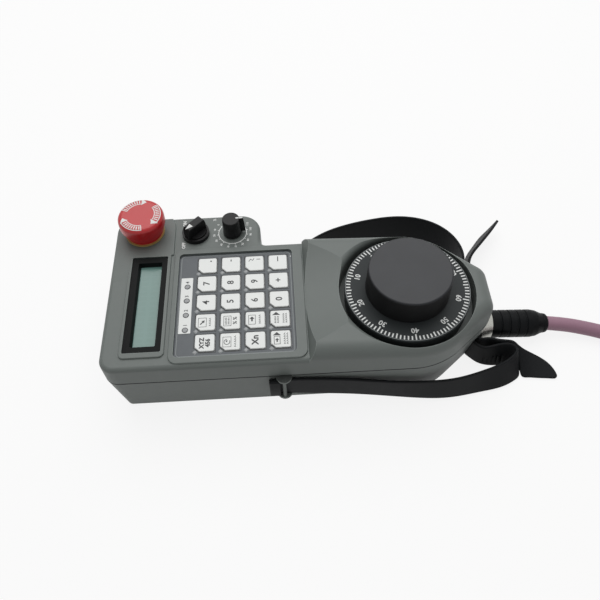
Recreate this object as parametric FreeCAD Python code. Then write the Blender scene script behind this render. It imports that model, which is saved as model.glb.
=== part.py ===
"""Handheld operator panel for a machine tool, modelled piece by piece.

Frame: millimetres, +Z up out of the operating face. The origin is where the handwheel's axis meets
the plane that the panel rests on. +X runs towards the cable, +Y towards the emergency stop.
"""
import FreeCAD
import Part

import math
import os

os.makedirs("parts", exist_ok=True)

# Case
HALF_WIDTH = 46.5            # of the keypad and dial sections, at the parting line
LEFT_X = -192.5
HEAD_RIGHT_X = -93.0         # the head stands out to +Y between LEFT_X and here
HEAD_FAR_Y = 74.5
NOSE_X = 54.4                # flat end that carries the cable receptacle
NOSE_TURN_DEG = 50.0         # where the tail's round side runs off straight to the nose
LEFT_CORNER_R = 9.5
HEAD_CORNER_R = 13.5
HEAD_INNER_R = 4.0
NOSE_CORNER_R = 10.0
WALL = 2.6
PARTING_Z = 39.3
GASKET = 0.7                 # thickness of the seal in the parting line
GASKET_INSET = 0.5
PLATEAU_Z = 56.0             # top face round the keypad and display
TOP_EDGE_R = 3.0
REAR_DRAFT = 5.4             # how far the rear shell's walls lean in, foot to parting line
NOSE_DRAFT = 2.4
FOOT_CHAMFER = 1.4
CEILING_Z = PLATEAU_Z - WALL

# Dial section of the case: a back that slopes down towards the cable
STEP_X = -65.0               # foot of the sloped step up from the keypad
STEP_RUN = 4.6
RIDGE_Z = 64.5
BACK_END_Z = 59.4            # height that the back's slope comes down to at the nose
SHOULDER_R = 9.0
SCOOP_R = 103.0              # hollow between the two shoulders, beside the keypad
SCOOP_DEPTH = 7.0
SCOOP_RISE_DEG = 10.0
WELL_R = 43.4
WELL_FLARE_R = 5.0           # the well's wall turns outwards where the back is high
WELL_FLARE_Z = 58.5
WELL_FLOOR_Z = 46.4
WELL_BORE_R = 12.2

# Display
DISPLAY = (-178.6, -154.9, -35.3, 39.0)         # opening in the case: x, x, y, y
DISPLAY_RIM = (2.1, 3.6)                        # raised rim beyond the opening, in x and y
DISPLAY_VIEW = (-173.4, -159.6, -29.9, 33.6)    # the part of the glass that shows
DISPLAY_FRAME_TOP = 53.0
DISPLAY_BOARD_TOP = 48.6
RIM_RISE = 1.2

# Keypad
OVERLAY = (-147.3, -72.0, -40.0, 40.0)
OVERLAY_RIM = (-150.6, -65.4, -44.2, 44.2)
OVERLAY_Z = 55.4
OVERLAY_THICK = 1.0
OVERLAY_LEDGE = 2.0          # width of the case's ledge that carries the overlay
KEY_SIZE = 12.0
KEY_COLUMNS = (-128.4, -112.83, -97.26, -81.7)
KEY_ROWS = (-30.0, -15.0, 0.0, 15.0, 30.0)
KEY_CORNER_CUT = 3.0
KEY_RISE = 0.8
KEY_TRAVEL = 0.5
KEY_GAP = 0.4
KEY_FLANGE_GAP = 0.3         # between a key's flange and the overlay above it
KEY_FLANGE_TOP = OVERLAY_Z - OVERLAY_THICK - KEY_FLANGE_GAP
KEY_FLANGE_LOW = KEY_FLANGE_TOP - 0.6
KEY_LAMP_OFFSET = (-5.8, -6.2)
LAMP_R = 0.9
KEY_BOARD = (-149.0, -71.3, -37.5, 37.5)
KEY_BOARD_TOP = 52.0
STATUS_STRIP = (-145.2, -137.6, -22.4, 20.6)
STATUS_LAMP_X = -141.0
STATUS_LAMP_YS = (-19.9, -8.8, 2.3, 13.4)
STATUS_LAMP_R = 1.4

# Controls on the head
ESTOP_XY = (-172.2, 61.5)
ESTOP_PAD = (-195.0, -151.2, 40.0, 80.0)        # raised corner of the head, trimmed by the case's edge
ESTOP_PAD_R = 16.0
ESTOP_PAD_RAMP = (20.0, 33.0)    # y range in which the pad runs down, beside the display
ESTOP_TRAVEL = 3.5
ESTOP_BARREL_R = 8.0
ESTOP_COLLAR_R = 13.4
ESTOP_COLLAR_LOW = PLATEAU_Z + RIM_RISE
ESTOP_COLLAR_TOP = ESTOP_COLLAR_LOW + 1.2
ESTOP_SKIRT_Z = ESTOP_COLLAR_TOP + ESTOP_TRAVEL + 0.3
ESTOP_SLEEVE_TOP = ESTOP_SKIRT_Z + 2.8
ESTOP_CROWN_Z = ESTOP_SKIRT_Z + 7.3     # inside of the head's top
ESTOP_TOP_Z = ESTOP_SKIRT_Z + 12.5
ESTOP_BLOCK_TOP = 45.0
SELECTOR_XY = (-137.2, 58.2)
SELECTOR_REST_DEG = 225.0
SELECTOR_BARREL_R = 6.0
OVERRIDE_XY = (-112.0, 57.8)
OVERRIDE_REST_DEG = 5.0
OVERRIDE_BUSH_R = 3.4

# Handwheel
RING_R = 40.0
RING_Z = 61.0
CAP_R = 26.7
CAP_TOP_Z = 79.5
SHAFT_R = 4.0
SHAFT_TOP_Z = CAP_TOP_Z - 5.5
ENCODER_R = 27.0
BEARING_R = 9.5

# Cable and its connectors
RECEPTACLE_Z = 13.0
CONNECTOR_R = 9.7
CONNECTOR_FROM = 9.8         # distances from the nose along the connector's axis
CONNECTOR_GROOVES = (15.5, 21.5, 27.5, 33.5)
CLAMP_FROM = 47.2
CLAMP_TO = 50.6
CABLE_R = 5.0
COIL_CENTRE = (246.0, -66.0)
COIL_MEAN_R = 55.0
COIL_LAYERS = 4
COIL_ROWS = 4
COIL_PITCH = 10.2
TIE_THICK = 1.2

# Straps and the lugs that hold them
STRAP_WIDTH = 19.0
STRAP_THICK = 1.9
RIBBON_STEPS = 54            # sections that a strap is lofted through
LUG_X = -81.0
LUG_R = 4.9
LUG_THICK = 1.6
LUG_PIN_R = 1.1
LUG_TOP_Z = PARTING_Z - GASKET / 2 - 0.1
STRAP_LUG_Y = 47.7           # middle of the strap where it passes behind the lug pin
STRAP_LUG_Z = 19.0           # lower edge of the strap there
STRAP_LUG_WIDTH = 17.9       # the strap narrows a little to pass its lug
POCKET = (23.1, 30.6)        # strap pocket, along the straight side of the nose
POCKET_DEPTH_N = 38.2        # its back, measured from the handwheel axis
POCKET_FLOOR_Z = 1.0
POCKET_STRAP_Z = 1.6         # lower edge of the strap in the pocket
POCKET_TOP_Z = 21.6
POCKET_BAR_R = 1.3
POCKET_BAR_N = 42.0

Z_AXIS = FreeCAD.Vector(0, 0, 1)
ORIGIN = FreeCAD.Vector(0, 0, 0)


def vec(x, y, z=0.0):
    return FreeCAD.Vector(x, y, z)


def save(name, *solids):
    """Writes one node. Pieces of a group stay separate solids."""
    shape = solids[0] if len(solids) == 1 else Part.makeCompound(list(solids))
    shape.exportStep(f"parts/{name}.step")
    for solid in shape.Solids:
        if not solid.isValid() or solid.Volume <= 0:
            print("bad solid in", name)


def rounded_outline(corners, z=0.0):
    """Closed wire through corners given as (x, y, radius), each rounded by its own radius."""
    count = len(corners)
    arcs = []
    for i, (x, y, radius) in enumerate(corners):
        here = vec(x, y, z)
        back = (vec(*corners[i - 1][:2], z) - here).normalize()
        ahead = (vec(*corners[(i + 1) % count][:2], z) - here).normalize()
        half = back.getAngle(ahead) / 2
        reach = radius / math.tan(half)
        inward = (back + ahead).normalize()
        middle = here + inward * (radius / math.sin(half) - radius)
        arcs.append((here + back * reach, middle, here + ahead * reach))
    edges = []
    for i, arc in enumerate(arcs):
        edges.append(Part.Arc(*arc).toShape())
        edges.append(Part.LineSegment(arc[2], arcs[(i + 1) % count][0]).toShape())
    return Part.Wire(edges)


def prism(corners, low, high):
    return Part.Face(rounded_outline(corners, low)).extrude(vec(0, 0, high - low))


def rectangle(box, radius, grow_x=0.0, grow_y=None):
    """Corners of a rounded rectangle from (x, x, y, y)."""
    grow_y = grow_x if grow_y is None else grow_y
    x0, x1, y0, y1 = box[0] - grow_x, box[1] + grow_x, box[2] - grow_y, box[3] + grow_y
    return [(x0, y0, radius), (x1, y0, radius), (x1, y1, radius), (x0, y1, radius)]


def block(x0, x1, y0, y1, z0, z1):
    return Part.makeBox(x1 - x0, y1 - y0, z1 - z0, vec(x0, y0, z0))


def rod(radius, low, high, x=0.0, y=0.0):
    return Part.makeCylinder(radius, high - low, vec(x, y, low))


def ring(outer, inner, low, high, x=0.0, y=0.0):
    return rod(outer, low, high, x, y).cut(rod(inner, low - 1, high + 1, x, y))


def hexagon(radius, z, x, y):
    angles = [math.radians(60 * i) for i in range(7)]
    return Part.makePolygon([vec(x + radius * math.cos(a), y + radius * math.sin(a), z) for a in angles])


def turned(profile, x=0.0, y=0.0):
    """Solid of revolution about a vertical axis from (radius, height) points."""
    points = [vec(radius, 0, height) for radius, height in profile]
    face = Part.Face(Part.makePolygon(points + points[:1]))
    solid = face.revolve(ORIGIN, Z_AXIS, 360)
    solid.translate(vec(x, y))
    return solid


def edges_at(solid, height):
    """Edges that lie flat at one height."""
    found = []
    for edge in solid.Edges:
        box = edge.BoundBox
        if abs(box.ZMin - height) < 1e-4 and abs(box.ZMax - height) < 1e-4:
            found.append(edge)
    return found


# Shapes that several pieces share

TURN = math.radians(NOSE_TURN_DEG)
SIDE_OUT = (math.sin(math.pi / 2 - TURN), -math.cos(math.pi / 2 - TURN))     # across the nose's near side
SIDE_ALONG = (math.cos(math.pi / 2 - TURN), math.sin(math.pi / 2 - TURN))    # along it, to the nose


def nose_point(out, along, side=-1):
    """Plan point by the nose's straight side. side -1 is the near one, 1 the far one."""
    x = SIDE_OUT[0] * out + SIDE_ALONG[0] * along
    y = SIDE_OUT[1] * out + SIDE_ALONG[1] * along
    return x, -y * side


def case_corners(inset, nose_inset=None):
    """Plan outline of the case, moved in by inset."""
    nose_inset = inset if nose_inset is None else nose_inset
    half = HALF_WIDTH - inset
    nose = NOSE_X - nose_inset
    shoulder_x = half * (1 + SIDE_OUT[1]) / SIDE_OUT[0]     # the long side meets the nose's side here
    nose_y = (half - SIDE_OUT[0] * nose) / -SIDE_OUT[1]
    left = LEFT_X + inset
    right = HEAD_RIGHT_X - inset
    far = HEAD_FAR_Y - inset
    corner = max(LEFT_CORNER_R - inset, 1.0)
    nose_r = max(NOSE_CORNER_R - inset, 1.0)
    return [
        (left, -half, corner),
        (shoulder_x, -half, half),
        (nose, -nose_y, nose_r),
        (nose, nose_y, nose_r),
        (shoulder_x, half, half),
        (right, half, HEAD_INNER_R + inset),
        (right, far, HEAD_CORNER_R - inset),
        (left, far, corner),
    ]


def lofted_shell(levels):
    """Drafted body through case outlines given as (z, inset, nose_inset)."""
    wires = [rounded_outline(case_corners(inset, nose), z) for z, inset, nose in levels]
    return Part.makeLoft(wires, True, True)


def draft_at(z, full):
    return full * (1 - z / PARTING_Z)


def near_and_far(shape):
    """The shape and its mirror image on the other long side."""
    return [shape, shape.mirror(ORIGIN, vec(0, 1, 0))]


def on_receptacle_axis(shape):
    """Places a piece made about +X from the origin on the nose's drafted end wall."""
    lean = math.degrees(math.atan2(NOSE_DRAFT, PARTING_Z))
    shape.rotate(ORIGIN, vec(0, 1, 0), lean)
    shape.translate(vec(NOSE_X - draft_at(RECEPTACLE_Z, NOSE_DRAFT), 0, RECEPTACLE_Z))
    return shape


def turned_along_x(profile):
    """Solid of revolution about +X from (x, radius) points."""
    points = [vec(x, 0, radius) for x, radius in profile]
    face = Part.Face(Part.makePolygon(points + points[:1]))
    return face.revolve(ORIGIN, vec(1, 0, 0), 360)


SCREW_XYS = [(-181.5, -35.0), (-154.0, 66.0), (-98.5, 63.0), (-66.0, -35.0), (-66.0, 35.0)]
BOSS_R = 4.2
SCREW_R = 1.5
SCREW_HEAD_R = 3.0
SCREW_TIP_Z = PARTING_Z + 8.0
SCREW_SEAT_Z = 6.0
BOARD_Z = 12.0
BOARD_THICK = 1.6
BOARD_POSTS = [(-170.0, -28.0), (-170.0, 28.0), (-78.0, -28.0), (-78.0, 28.0)]
KEY_BOARD_POSTS = [(-147.2, -30.0), (-147.2, 30.0), (-72.8, -30.0), (-72.8, 30.0)]
DISPLAY_POSTS = [(-170.0, -37.6), (-160.0, -37.6), (-170.0, 41.4), (-160.0, 41.4)]
POST_R = 1.5


# Rear case

def strap_pocket(side):
    """The pocket's room in the nose, where the strap turns round its bar."""
    near, far = POCKET
    points = [nose_point(out, along, side) for out, along in
              [(POCKET_DEPTH_N, near), (POCKET_DEPTH_N + 20, near),
               (POCKET_DEPTH_N + 20, far), (POCKET_DEPTH_N, far)]]
    wire = Part.makePolygon([vec(x, y, POCKET_FLOOR_Z) for x, y in points + points[:1]])
    return Part.Face(wire).extrude(vec(0, 0, POCKET_TOP_Z - POCKET_FLOOR_Z))


def pocket_walls(side):
    """Walls that close the pocket off from the inside of the case."""
    near, far = POCKET
    wall = 1.5
    back = POCKET_DEPTH_N - wall
    points = [nose_point(out, along, side) for out, along in
              [(back, near - wall), (back + 9, near - wall), (back + 9, far + wall), (back, far + wall)]]
    wire = Part.makePolygon([vec(x, y, 0.4) for x, y in points + points[:1]])
    return Part.Face(wire).extrude(vec(0, 0, POCKET_TOP_Z + wall - 0.4))


def strap_lug():
    """Two half-moon flanges on the near wall. The lug pin stands between them."""
    flanges = []
    for low in (LUG_TOP_Z - LUG_THICK, STRAP_LUG_Z - 0.4 - LUG_THICK):
        disc = rod(LUG_R, low, low + LUG_THICK, LUG_X, -HALF_WIDTH)
        arm = block(LUG_X - LUG_R, LUG_X + LUG_R, -HALF_WIDTH, -HALF_WIDTH + 6.5, low, low + LUG_THICK)
        flanges.append(disc.fuse(arm))
    return flanges[0].fuse(flanges[1])


def rear_case():
    top = PARTING_Z - GASKET / 2
    outer = lofted_shell([
        (0.0, draft_at(0, REAR_DRAFT) + FOOT_CHAMFER, NOSE_DRAFT + FOOT_CHAMFER),
        (FOOT_CHAMFER, draft_at(FOOT_CHAMFER, REAR_DRAFT), draft_at(FOOT_CHAMFER, NOSE_DRAFT)),
        (top, 0.0, 0.0),
    ])
    inner = lofted_shell([
        (WALL, draft_at(WALL, REAR_DRAFT) + WALL, draft_at(WALL, NOSE_DRAFT) + WALL),
        (top + 1.0, WALL, WALL),
    ])
    shell = outer.cut(inner)
    for x, y in SCREW_XYS:
        shell = shell.fuse(rod(BOSS_R, 1.0, top, x, y).common(outer))
    for x, y in BOARD_POSTS:
        shell = shell.fuse(rod(3.0, 1.0, BOARD_Z, x, y))
    shell = shell.fuse([walls.common(outer) for walls in (pocket_walls(-1), pocket_walls(1))])
    for side in (-1, 1):
        bar_x, bar_y = nose_point(POCKET_BAR_N, sum(POCKET) / 2, side)
        bar = rod(POCKET_BAR_R, POCKET_FLOOR_Z - 0.5, POCKET_TOP_Z + 0.5, bar_x, bar_y)
        shell = shell.cut(strap_pocket(side)).fuse(bar.common(outer))
    lug = strap_lug()
    for one in near_and_far(lug):
        shell = shell.fuse(one.cut(inner))
    shell = shell.cut(strap_pins())
    for x, y in SCREW_XYS:
        shell = shell.cut(rod(SCREW_HEAD_R + 0.6, -1, SCREW_SEAT_Z, x, y))
        shell = shell.cut(rod(SCREW_R + 0.2, 0, top + 1, x, y))
    bore = on_receptacle_axis(turned_along_x([(-8, 0), (4, 0), (4, 7.1), (-8, 7.1)]))
    return shell.cut(bore).removeSplitter()


# Front case

def dial_section():
    """The back behind the keypad, solid, with rounded shoulders and a hollow at the step."""
    low = PARTING_Z + GASKET / 2
    wide = 2 * HEAD_FAR_Y
    body = prism(case_corners(0.0), low, RIDGE_Z + 10)
    body = body.cut(block(LEFT_X - 5, STEP_X, -wide, wide, 0, 100))
    fall = (RIDGE_Z - BACK_END_Z) / (NOSE_X - STEP_X)
    past = 10.0
    side = [vec(STEP_X - past, -wide), vec(STEP_X - past, -wide, RIDGE_Z + fall * past),
            vec(NOSE_X + past, -wide, BACK_END_Z - fall * past), vec(NOSE_X + past, -wide)]
    body = body.common(Part.Face(Part.makePolygon(side + side[:1])).extrude(vec(0, 2 * wide, 0)))
    roof_edges = []
    for edge in body.Edges:
        box = edge.BoundBox
        crosses = abs(box.XMax - box.XMin) < 1e-3 and box.XMin < 0
        upright = box.ZMax - box.ZMin > 12
        if box.ZMin > low + 1 and not crosses and not upright:
            roof_edges.append(edge)
    body = body.makeFillet(SHOULDER_R, roof_edges)
    rise = math.radians(SCOOP_RISE_DEG)
    run = vec(math.cos(rise), 0, math.sin(rise))
    foot = vec(STEP_X, 0, RIDGE_Z - SCOOP_DEPTH + SCOOP_R)
    body = body.cut(Part.makeCylinder(SCOOP_R, 80, foot - run * 20, run))
    slope = (RIDGE_Z - PLATEAU_Z) / STEP_RUN
    wedge = [vec(STEP_X - 2, -wide, PLATEAU_Z - 2 * slope), vec(STEP_X + 8, -wide, PLATEAU_Z + 8 * slope),
             vec(STEP_X - 2, -wide, PLATEAU_Z + 8 * slope)]
    return body.cut(Part.Face(Part.makePolygon(wedge + wedge[:1])).extrude(vec(0, 2 * wide, 0)))


def handwheel_well():
    """Room of the handwheel's well. Its wall turns outwards in a quarter circle near the top."""
    start = vec(WELL_R, 0, WELL_FLARE_Z)
    lean = WELL_FLARE_R * math.sqrt(0.5)
    middle = start + vec(WELL_FLARE_R - lean, 0, lean)
    end = start + vec(WELL_FLARE_R, 0, WELL_FLARE_R)
    above = 100.0
    corners = [end, vec(end.x, 0, above), vec(0, 0, above)]
    corners += [vec(0, 0, WELL_FLOOR_Z), vec(WELL_R, 0, WELL_FLOOR_Z), start]
    edges = [Part.Arc(start, middle, end).toShape()]
    edges += [Part.LineSegment(a, b).toShape() for a, b in zip(corners, corners[1:])]
    return Part.Face(Part.Wire(edges)).revolve(ORIGIN, Z_AXIS, 360)


def raised_rim(corners, edge_r):
    """Moulded rim that stands on the plateau, with its upper edge broken."""
    rim = prism(corners, PLATEAU_Z - 2.0, PLATEAU_Z + RIM_RISE)
    return rim.makeFillet(edge_r, edges_at(rim, PLATEAU_Z + RIM_RISE))


def pad_ramp():
    """Runs from the emergency stop's pad down to the plateau, on the outer side of the display."""
    top = PLATEAU_Z + RIM_RISE
    start, end = ESTOP_PAD_RAMP
    last = ESTOP_PAD[2] + 2.0
    sunk = PLATEAU_Z - 2.0
    outline = [vec(0, start, sunk), vec(0, last, sunk), vec(0, last, top)]
    outline += [vec(0, end, top), vec(0, start, PLATEAU_Z - 0.05)]
    wedge = Part.Face(Part.makePolygon(outline + outline[:1])).extrude(vec(DISPLAY[0] - ESTOP_PAD[0], 0, 0))
    wedge.translate(vec(ESTOP_PAD[0], 0, 0))
    wedge = wedge.common(prism(case_corners(1.6), sunk - 1, 100)).Solids[0]
    outer_x = wedge.BoundBox.XMin + 0.01
    outer = [edge for edge in wedge.Edges if edge.BoundBox.XMax < outer_x]
    return wedge.makeFillet(0.8, [edge for edge in outer if edge.BoundBox.ZMin > PLATEAU_Z - 0.1])


def front_case():
    low = PARTING_Z + GASKET / 2
    plateau = prism(case_corners(0.0), low, PLATEAU_Z)
    plateau = plateau.makeFillet(TOP_EDGE_R, edges_at(plateau, PLATEAU_Z))
    plateau = plateau.cut(block(STEP_X + 0.5, NOSE_X + 5, -100, 100, 0, 100))
    x0, x1, y0, y1 = ESTOP_PAD
    pad = prism([(x0, y0, 0.5), (x1, y0, 0.5), (x1, y1, ESTOP_PAD_R), (x0, y1, 0.5)],
                PLATEAU_Z - 2, PLATEAU_Z + RIM_RISE)
    pad = pad.common(prism(case_corners(1.6), low, 100))
    pad = pad.makeFillet(0.8, edges_at(pad, PLATEAU_Z + RIM_RISE))
    shell = plateau.fuse([
        dial_section(),
        pad,
        pad_ramp(),
        raised_rim(rectangle(DISPLAY, 3.5, *DISPLAY_RIM), 0.7),
        raised_rim(rectangle(OVERLAY_RIM, 6.0), 0.7),
    ])
    room = prism(case_corners(WALL), low - 1, CEILING_Z)
    room = room.cut(block(-WELL_R - WALL, 100, -100, 100, 0, 100))
    under_well = rod(WELL_R - WALL, low - 1, WELL_FLOOR_Z - WALL)
    shell = shell.cut([room, under_well])
    for x, y in SCREW_XYS:
        shell = shell.fuse(rod(BOSS_R, low, CEILING_Z + 0.5, x, y))
    for x, y in KEY_BOARD_POSTS:
        shell = shell.fuse(rod(POST_R, KEY_BOARD_TOP, CEILING_Z + 0.5, x, y))
    for x, y in DISPLAY_POSTS:
        shell = shell.fuse(rod(POST_R, DISPLAY_BOARD_TOP, CEILING_Z + 0.5, x, y))
    holes = [rod(SCREW_R, low - 1, SCREW_TIP_Z + 1, x, y) for x, y in SCREW_XYS]
    holes.append(handwheel_well())
    holes.append(rod(WELL_BORE_R, low, 100))
    holes.append(prism(rectangle(DISPLAY, 1.0), CEILING_Z - 4, 100))
    holes.append(prism(rectangle(OVERLAY, 3.0), OVERLAY_Z - OVERLAY_THICK, 100))
    holes.append(prism(rectangle(OVERLAY, 1.5, -OVERLAY_LEDGE), CEILING_Z - 4, 100))
    holes.append(rod(ESTOP_BARREL_R + 0.1, low, 100, *ESTOP_XY))
    holes.append(rod(SELECTOR_BARREL_R + 0.1, low, 100, *SELECTOR_XY))
    holes.append(rod(OVERRIDE_BUSH_R + 0.1, low, 100, *OVERRIDE_XY))
    return shell.cut(holes).removeSplitter()


def case_gasket():
    seal = prism(case_corners(GASKET_INSET), PARTING_Z - GASKET / 2, PARTING_Z + GASKET / 2)
    return seal.cut(prism(case_corners(WALL - 0.2), PARTING_Z - 2, PARTING_Z + 2))


def case_screws():
    screws = []
    for x, y in SCREW_XYS:
        head = rod(SCREW_HEAD_R, SCREW_SEAT_Z - 2.4, SCREW_SEAT_Z, x, y)
        recess = Part.Face(hexagon(1.7, SCREW_SEAT_Z - 2.5, x, y)).extrude(vec(0, 0, 1.3))
        screws.append(head.cut(recess).fuse(rod(SCREW_R, SCREW_SEAT_Z, SCREW_TIP_Z, x, y)))
    return screws


# Display module

def display_bezel():
    plate = prism(rectangle(DISPLAY, 0.9, -0.1), DISPLAY_FRAME_TOP, PLATEAU_Z + 0.3)
    flare = Part.makeLoft([
        rounded_outline(rectangle(DISPLAY_VIEW, 0.5), DISPLAY_FRAME_TOP - 0.1),
        rounded_outline(rectangle(DISPLAY_VIEW, 0.8, 0.9), PLATEAU_Z + 0.4),
    ], True, True)
    return plate.cut(flare)


def display_module():
    frame = prism(rectangle(DISPLAY_VIEW, 1.0, 2.4, 4.0), DISPLAY_BOARD_TOP, DISPLAY_FRAME_TOP)
    glass_box = rectangle(DISPLAY_VIEW, 0.5, 1.3, 2.0)
    glass = prism(glass_box, DISPLAY_BOARD_TOP + 1.0, DISPLAY_FRAME_TOP - 0.4)
    frame = frame.cut(prism(glass_box, DISPLAY_BOARD_TOP + 1.0, 100))
    board = prism(rectangle((-176.5, -153.2, -39.5, 43.5), 1.0), DISPLAY_BOARD_TOP - 1.6, DISPLAY_BOARD_TOP)
    return frame, glass, board


# Keypad

def key_corners(x, y, half, cut, radius):
    """Square key with the corner by its lamp cut off."""
    return [(x - half + cut, y - half, 0.4), (x + half, y - half, radius), (x + half, y + half, radius),
            (x - half, y + half, radius), (x - half, y - half + cut, 0.4)]


def key_cap(x, y):
    top = OVERLAY_Z + KEY_RISE
    cap = prism(key_corners(x, y, KEY_SIZE / 2, KEY_CORNER_CUT, 1.2), KEY_FLANGE_TOP, top)
    cap = cap.makeChamfer(0.3, edges_at(cap, top))
    rim = key_corners(x, y, KEY_SIZE / 2 + 0.8, KEY_CORNER_CUT + 0.6, 1.2)
    return cap.fuse(prism(rim, KEY_FLANGE_LOW, KEY_FLANGE_TOP))


def key_places():
    return [(row, column, x, y) for row, y in enumerate(reversed(KEY_ROWS), 1)
            for column, x in enumerate(KEY_COLUMNS, 1)]


def key_overlay():
    sheet = prism(rectangle(OVERLAY, 2.9, -0.1), OVERLAY_Z - OVERLAY_THICK, OVERLAY_Z)
    holes = []
    for _row, _column, x, y in key_places():
        holes.append(prism(key_corners(x, y, KEY_SIZE / 2 + KEY_GAP, KEY_CORNER_CUT + 0.25, 1.5), 50, 60))
        holes.append(rod(LAMP_R + 0.05, 50, 60, x + KEY_LAMP_OFFSET[0], y + KEY_LAMP_OFFSET[1]))
    holes += [rod(STATUS_LAMP_R + 0.05, 50, 60, STATUS_LAMP_X, y) for y in STATUS_LAMP_YS]
    return sheet.cut(holes)


def key_lamps():
    return [rod(LAMP_R, KEY_BOARD_TOP, OVERLAY_Z + 0.2, x + KEY_LAMP_OFFSET[0], y + KEY_LAMP_OFFSET[1])
            for _row, _column, x, y in key_places()]


def key_domes():
    """Snap domes under the keys: shallow cones that a pressed key stops just short of."""
    height = KEY_FLANGE_LOW - KEY_TRAVEL - 0.35 - KEY_BOARD_TOP
    feet = [vec(x, y, KEY_BOARD_TOP) for _row, _column, x, y in key_places()]
    return [Part.makeCone(3.4, 1.6, height, foot) for foot in feet]


def status_strip():
    strip = prism(rectangle(STATUS_STRIP, 0.4), OVERLAY_Z, OVERLAY_Z + 0.25)
    return strip.cut([rod(STATUS_LAMP_R + 0.05, 50, 60, STATUS_LAMP_X, y) for y in STATUS_LAMP_YS])


def status_lamps():
    return [rod(STATUS_LAMP_R, KEY_BOARD_TOP, OVERLAY_Z + 0.45, STATUS_LAMP_X, y) for y in STATUS_LAMP_YS]


# Emergency stop

def estop_head():
    skirt_z = ESTOP_SKIRT_Z
    head = turned([
        (0, ESTOP_CROWN_Z), (13.0, ESTOP_CROWN_Z), (13.0, skirt_z), (13.9, skirt_z), (14.2, skirt_z + 3.2),
        (15.4, skirt_z + 4.4), (15.5, skirt_z + 7.8), (15.2, ESTOP_TOP_Z), (0, ESTOP_TOP_Z),
    ], *ESTOP_XY)
    return head.makeFillet(3.4, edges_at(head, ESTOP_TOP_Z))


def estop_barrel():
    return turned([
        (5.3, ESTOP_BLOCK_TOP), (ESTOP_BARREL_R, ESTOP_BLOCK_TOP), (ESTOP_BARREL_R, ESTOP_COLLAR_TOP),
        (12.5, ESTOP_COLLAR_TOP), (12.3, ESTOP_SLEEVE_TOP), (5.3, ESTOP_SLEEVE_TOP),
    ], *ESTOP_XY)


def estop_nut():
    return ring(10.4, ESTOP_BARREL_R, CEILING_Z - 4.0, CEILING_Z, *ESTOP_XY)


def estop_spring():
    """Return spring round the stem, between barrel and head, lofted through sections of its wire."""
    wire_r = 0.5
    coil_r = 8.0
    turns = 3
    per_turn = 16
    low = ESTOP_SLEEVE_TOP + wire_r + 0.05
    high = ESTOP_CROWN_Z - wire_r - 0.05
    sections = []
    for i in range(turns * per_turn + 1):
        angle = 2 * math.pi * i / per_turn
        height = low + (high - low) * i / (turns * per_turn)
        outward = vec(math.cos(angle), math.sin(angle))
        middle = vec(*ESTOP_XY, height) + outward * coil_r
        spokes = [math.radians(60 * k) for k in range(7)]
        rim = [outward * math.cos(k) + Z_AXIS * math.sin(k) for k in spokes]
        sections.append(Part.makePolygon([middle + spoke * wire_r for spoke in rim]))
    return Part.makeLoft(sections, True, True)


# Selector and override switches

def selector_knob():
    x, y = SELECTOR_XY
    disc = rod(7.3, PLATEAU_Z + 1.2, PLATEAU_Z + 3.6, x, y)
    spindle = rod(3.0, PLATEAU_Z - 8, PLATEAU_Z + 2, x, y)
    bar = prism(rectangle((-8.0, 8.0, -3.0, 3.0), 1.2), PLATEAU_Z + 3.4, PLATEAU_Z + 11.4)
    ends = [vec(side * 8.5, -5, PLATEAU_Z + 2.9) for side in (-1, 1)]
    for side, end in zip((-1, 1), ends):
        slope = [end, end + vec(-side * 2.0, 0, 9), end + vec(side * 4, 0, 9), end + vec(side * 4, 0, 0)]
        bar = bar.cut(Part.Face(Part.makePolygon(slope + slope[:1])).extrude(vec(0, 10, 0)))
    bar = bar.makeFillet(0.8, edges_at(bar, PLATEAU_Z + 11.4))
    bar.rotate(ORIGIN, Z_AXIS, SELECTOR_REST_DEG)
    bar.translate(vec(x, y))
    return disc.fuse([spindle, bar])


def selector_block():
    x, y = SELECTOR_XY
    body = prism([(x - 8.5, y - 8.5, 1.0), (x + 8.5, y - 8.5, 1.0), (x + 8.5, y + 8.5, 1.0),
                  (x - 8.5, y + 8.5, 1.0)], 33.0, 46.0)
    barrel = rod(SELECTOR_BARREL_R, 45.0, PLATEAU_Z, x, y)
    return body.fuse(barrel).cut(rod(3.3, 47.0, 60, x, y))


def selector_nut():
    return Part.Face(hexagon(9.5, 49.8, *SELECTOR_XY)).extrude(vec(0, 0, CEILING_Z - 49.8)).cut(
        rod(SELECTOR_BARREL_R, 40, 60, *SELECTOR_XY))


def override_knob():
    x, y = OVERRIDE_XY
    low = PLATEAU_Z + 1.0
    top = PLATEAU_Z + 14.5
    knob = turned([(0, low + 10), (2.5, low + 10), (2.5, low + 3), (5.3, low + 3), (5.3, low), (6.35, low),
                   (5.8, top), (0, top)], x, y)
    knob = knob.makeFillet(0.6, edges_at(knob, top))
    pointer = block(5.0, 7.0, -0.8, 0.8, low, top - 0.6)
    pointer.rotate(ORIGIN, Z_AXIS, OVERRIDE_REST_DEG)
    pointer.translate(vec(x, y))
    return knob.fuse(pointer)


def override_switch():
    x, y = OVERRIDE_XY
    body = rod(10.0, 38.0, 51.0, x, y)
    bush = rod(OVERRIDE_BUSH_R, 50.0, PLATEAU_Z + 3.0, x, y)
    return body.fuse(bush).cut(rod(2.6, 42.0, 80, x, y))


def override_nut():
    nut = Part.Face(hexagon(4.7, PLATEAU_Z, *OVERRIDE_XY)).extrude(vec(0, 0, 2.2))
    return nut.cut(rod(OVERRIDE_BUSH_R, 40, 80, *OVERRIDE_XY))


# Handwheel and pulse encoder

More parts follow.
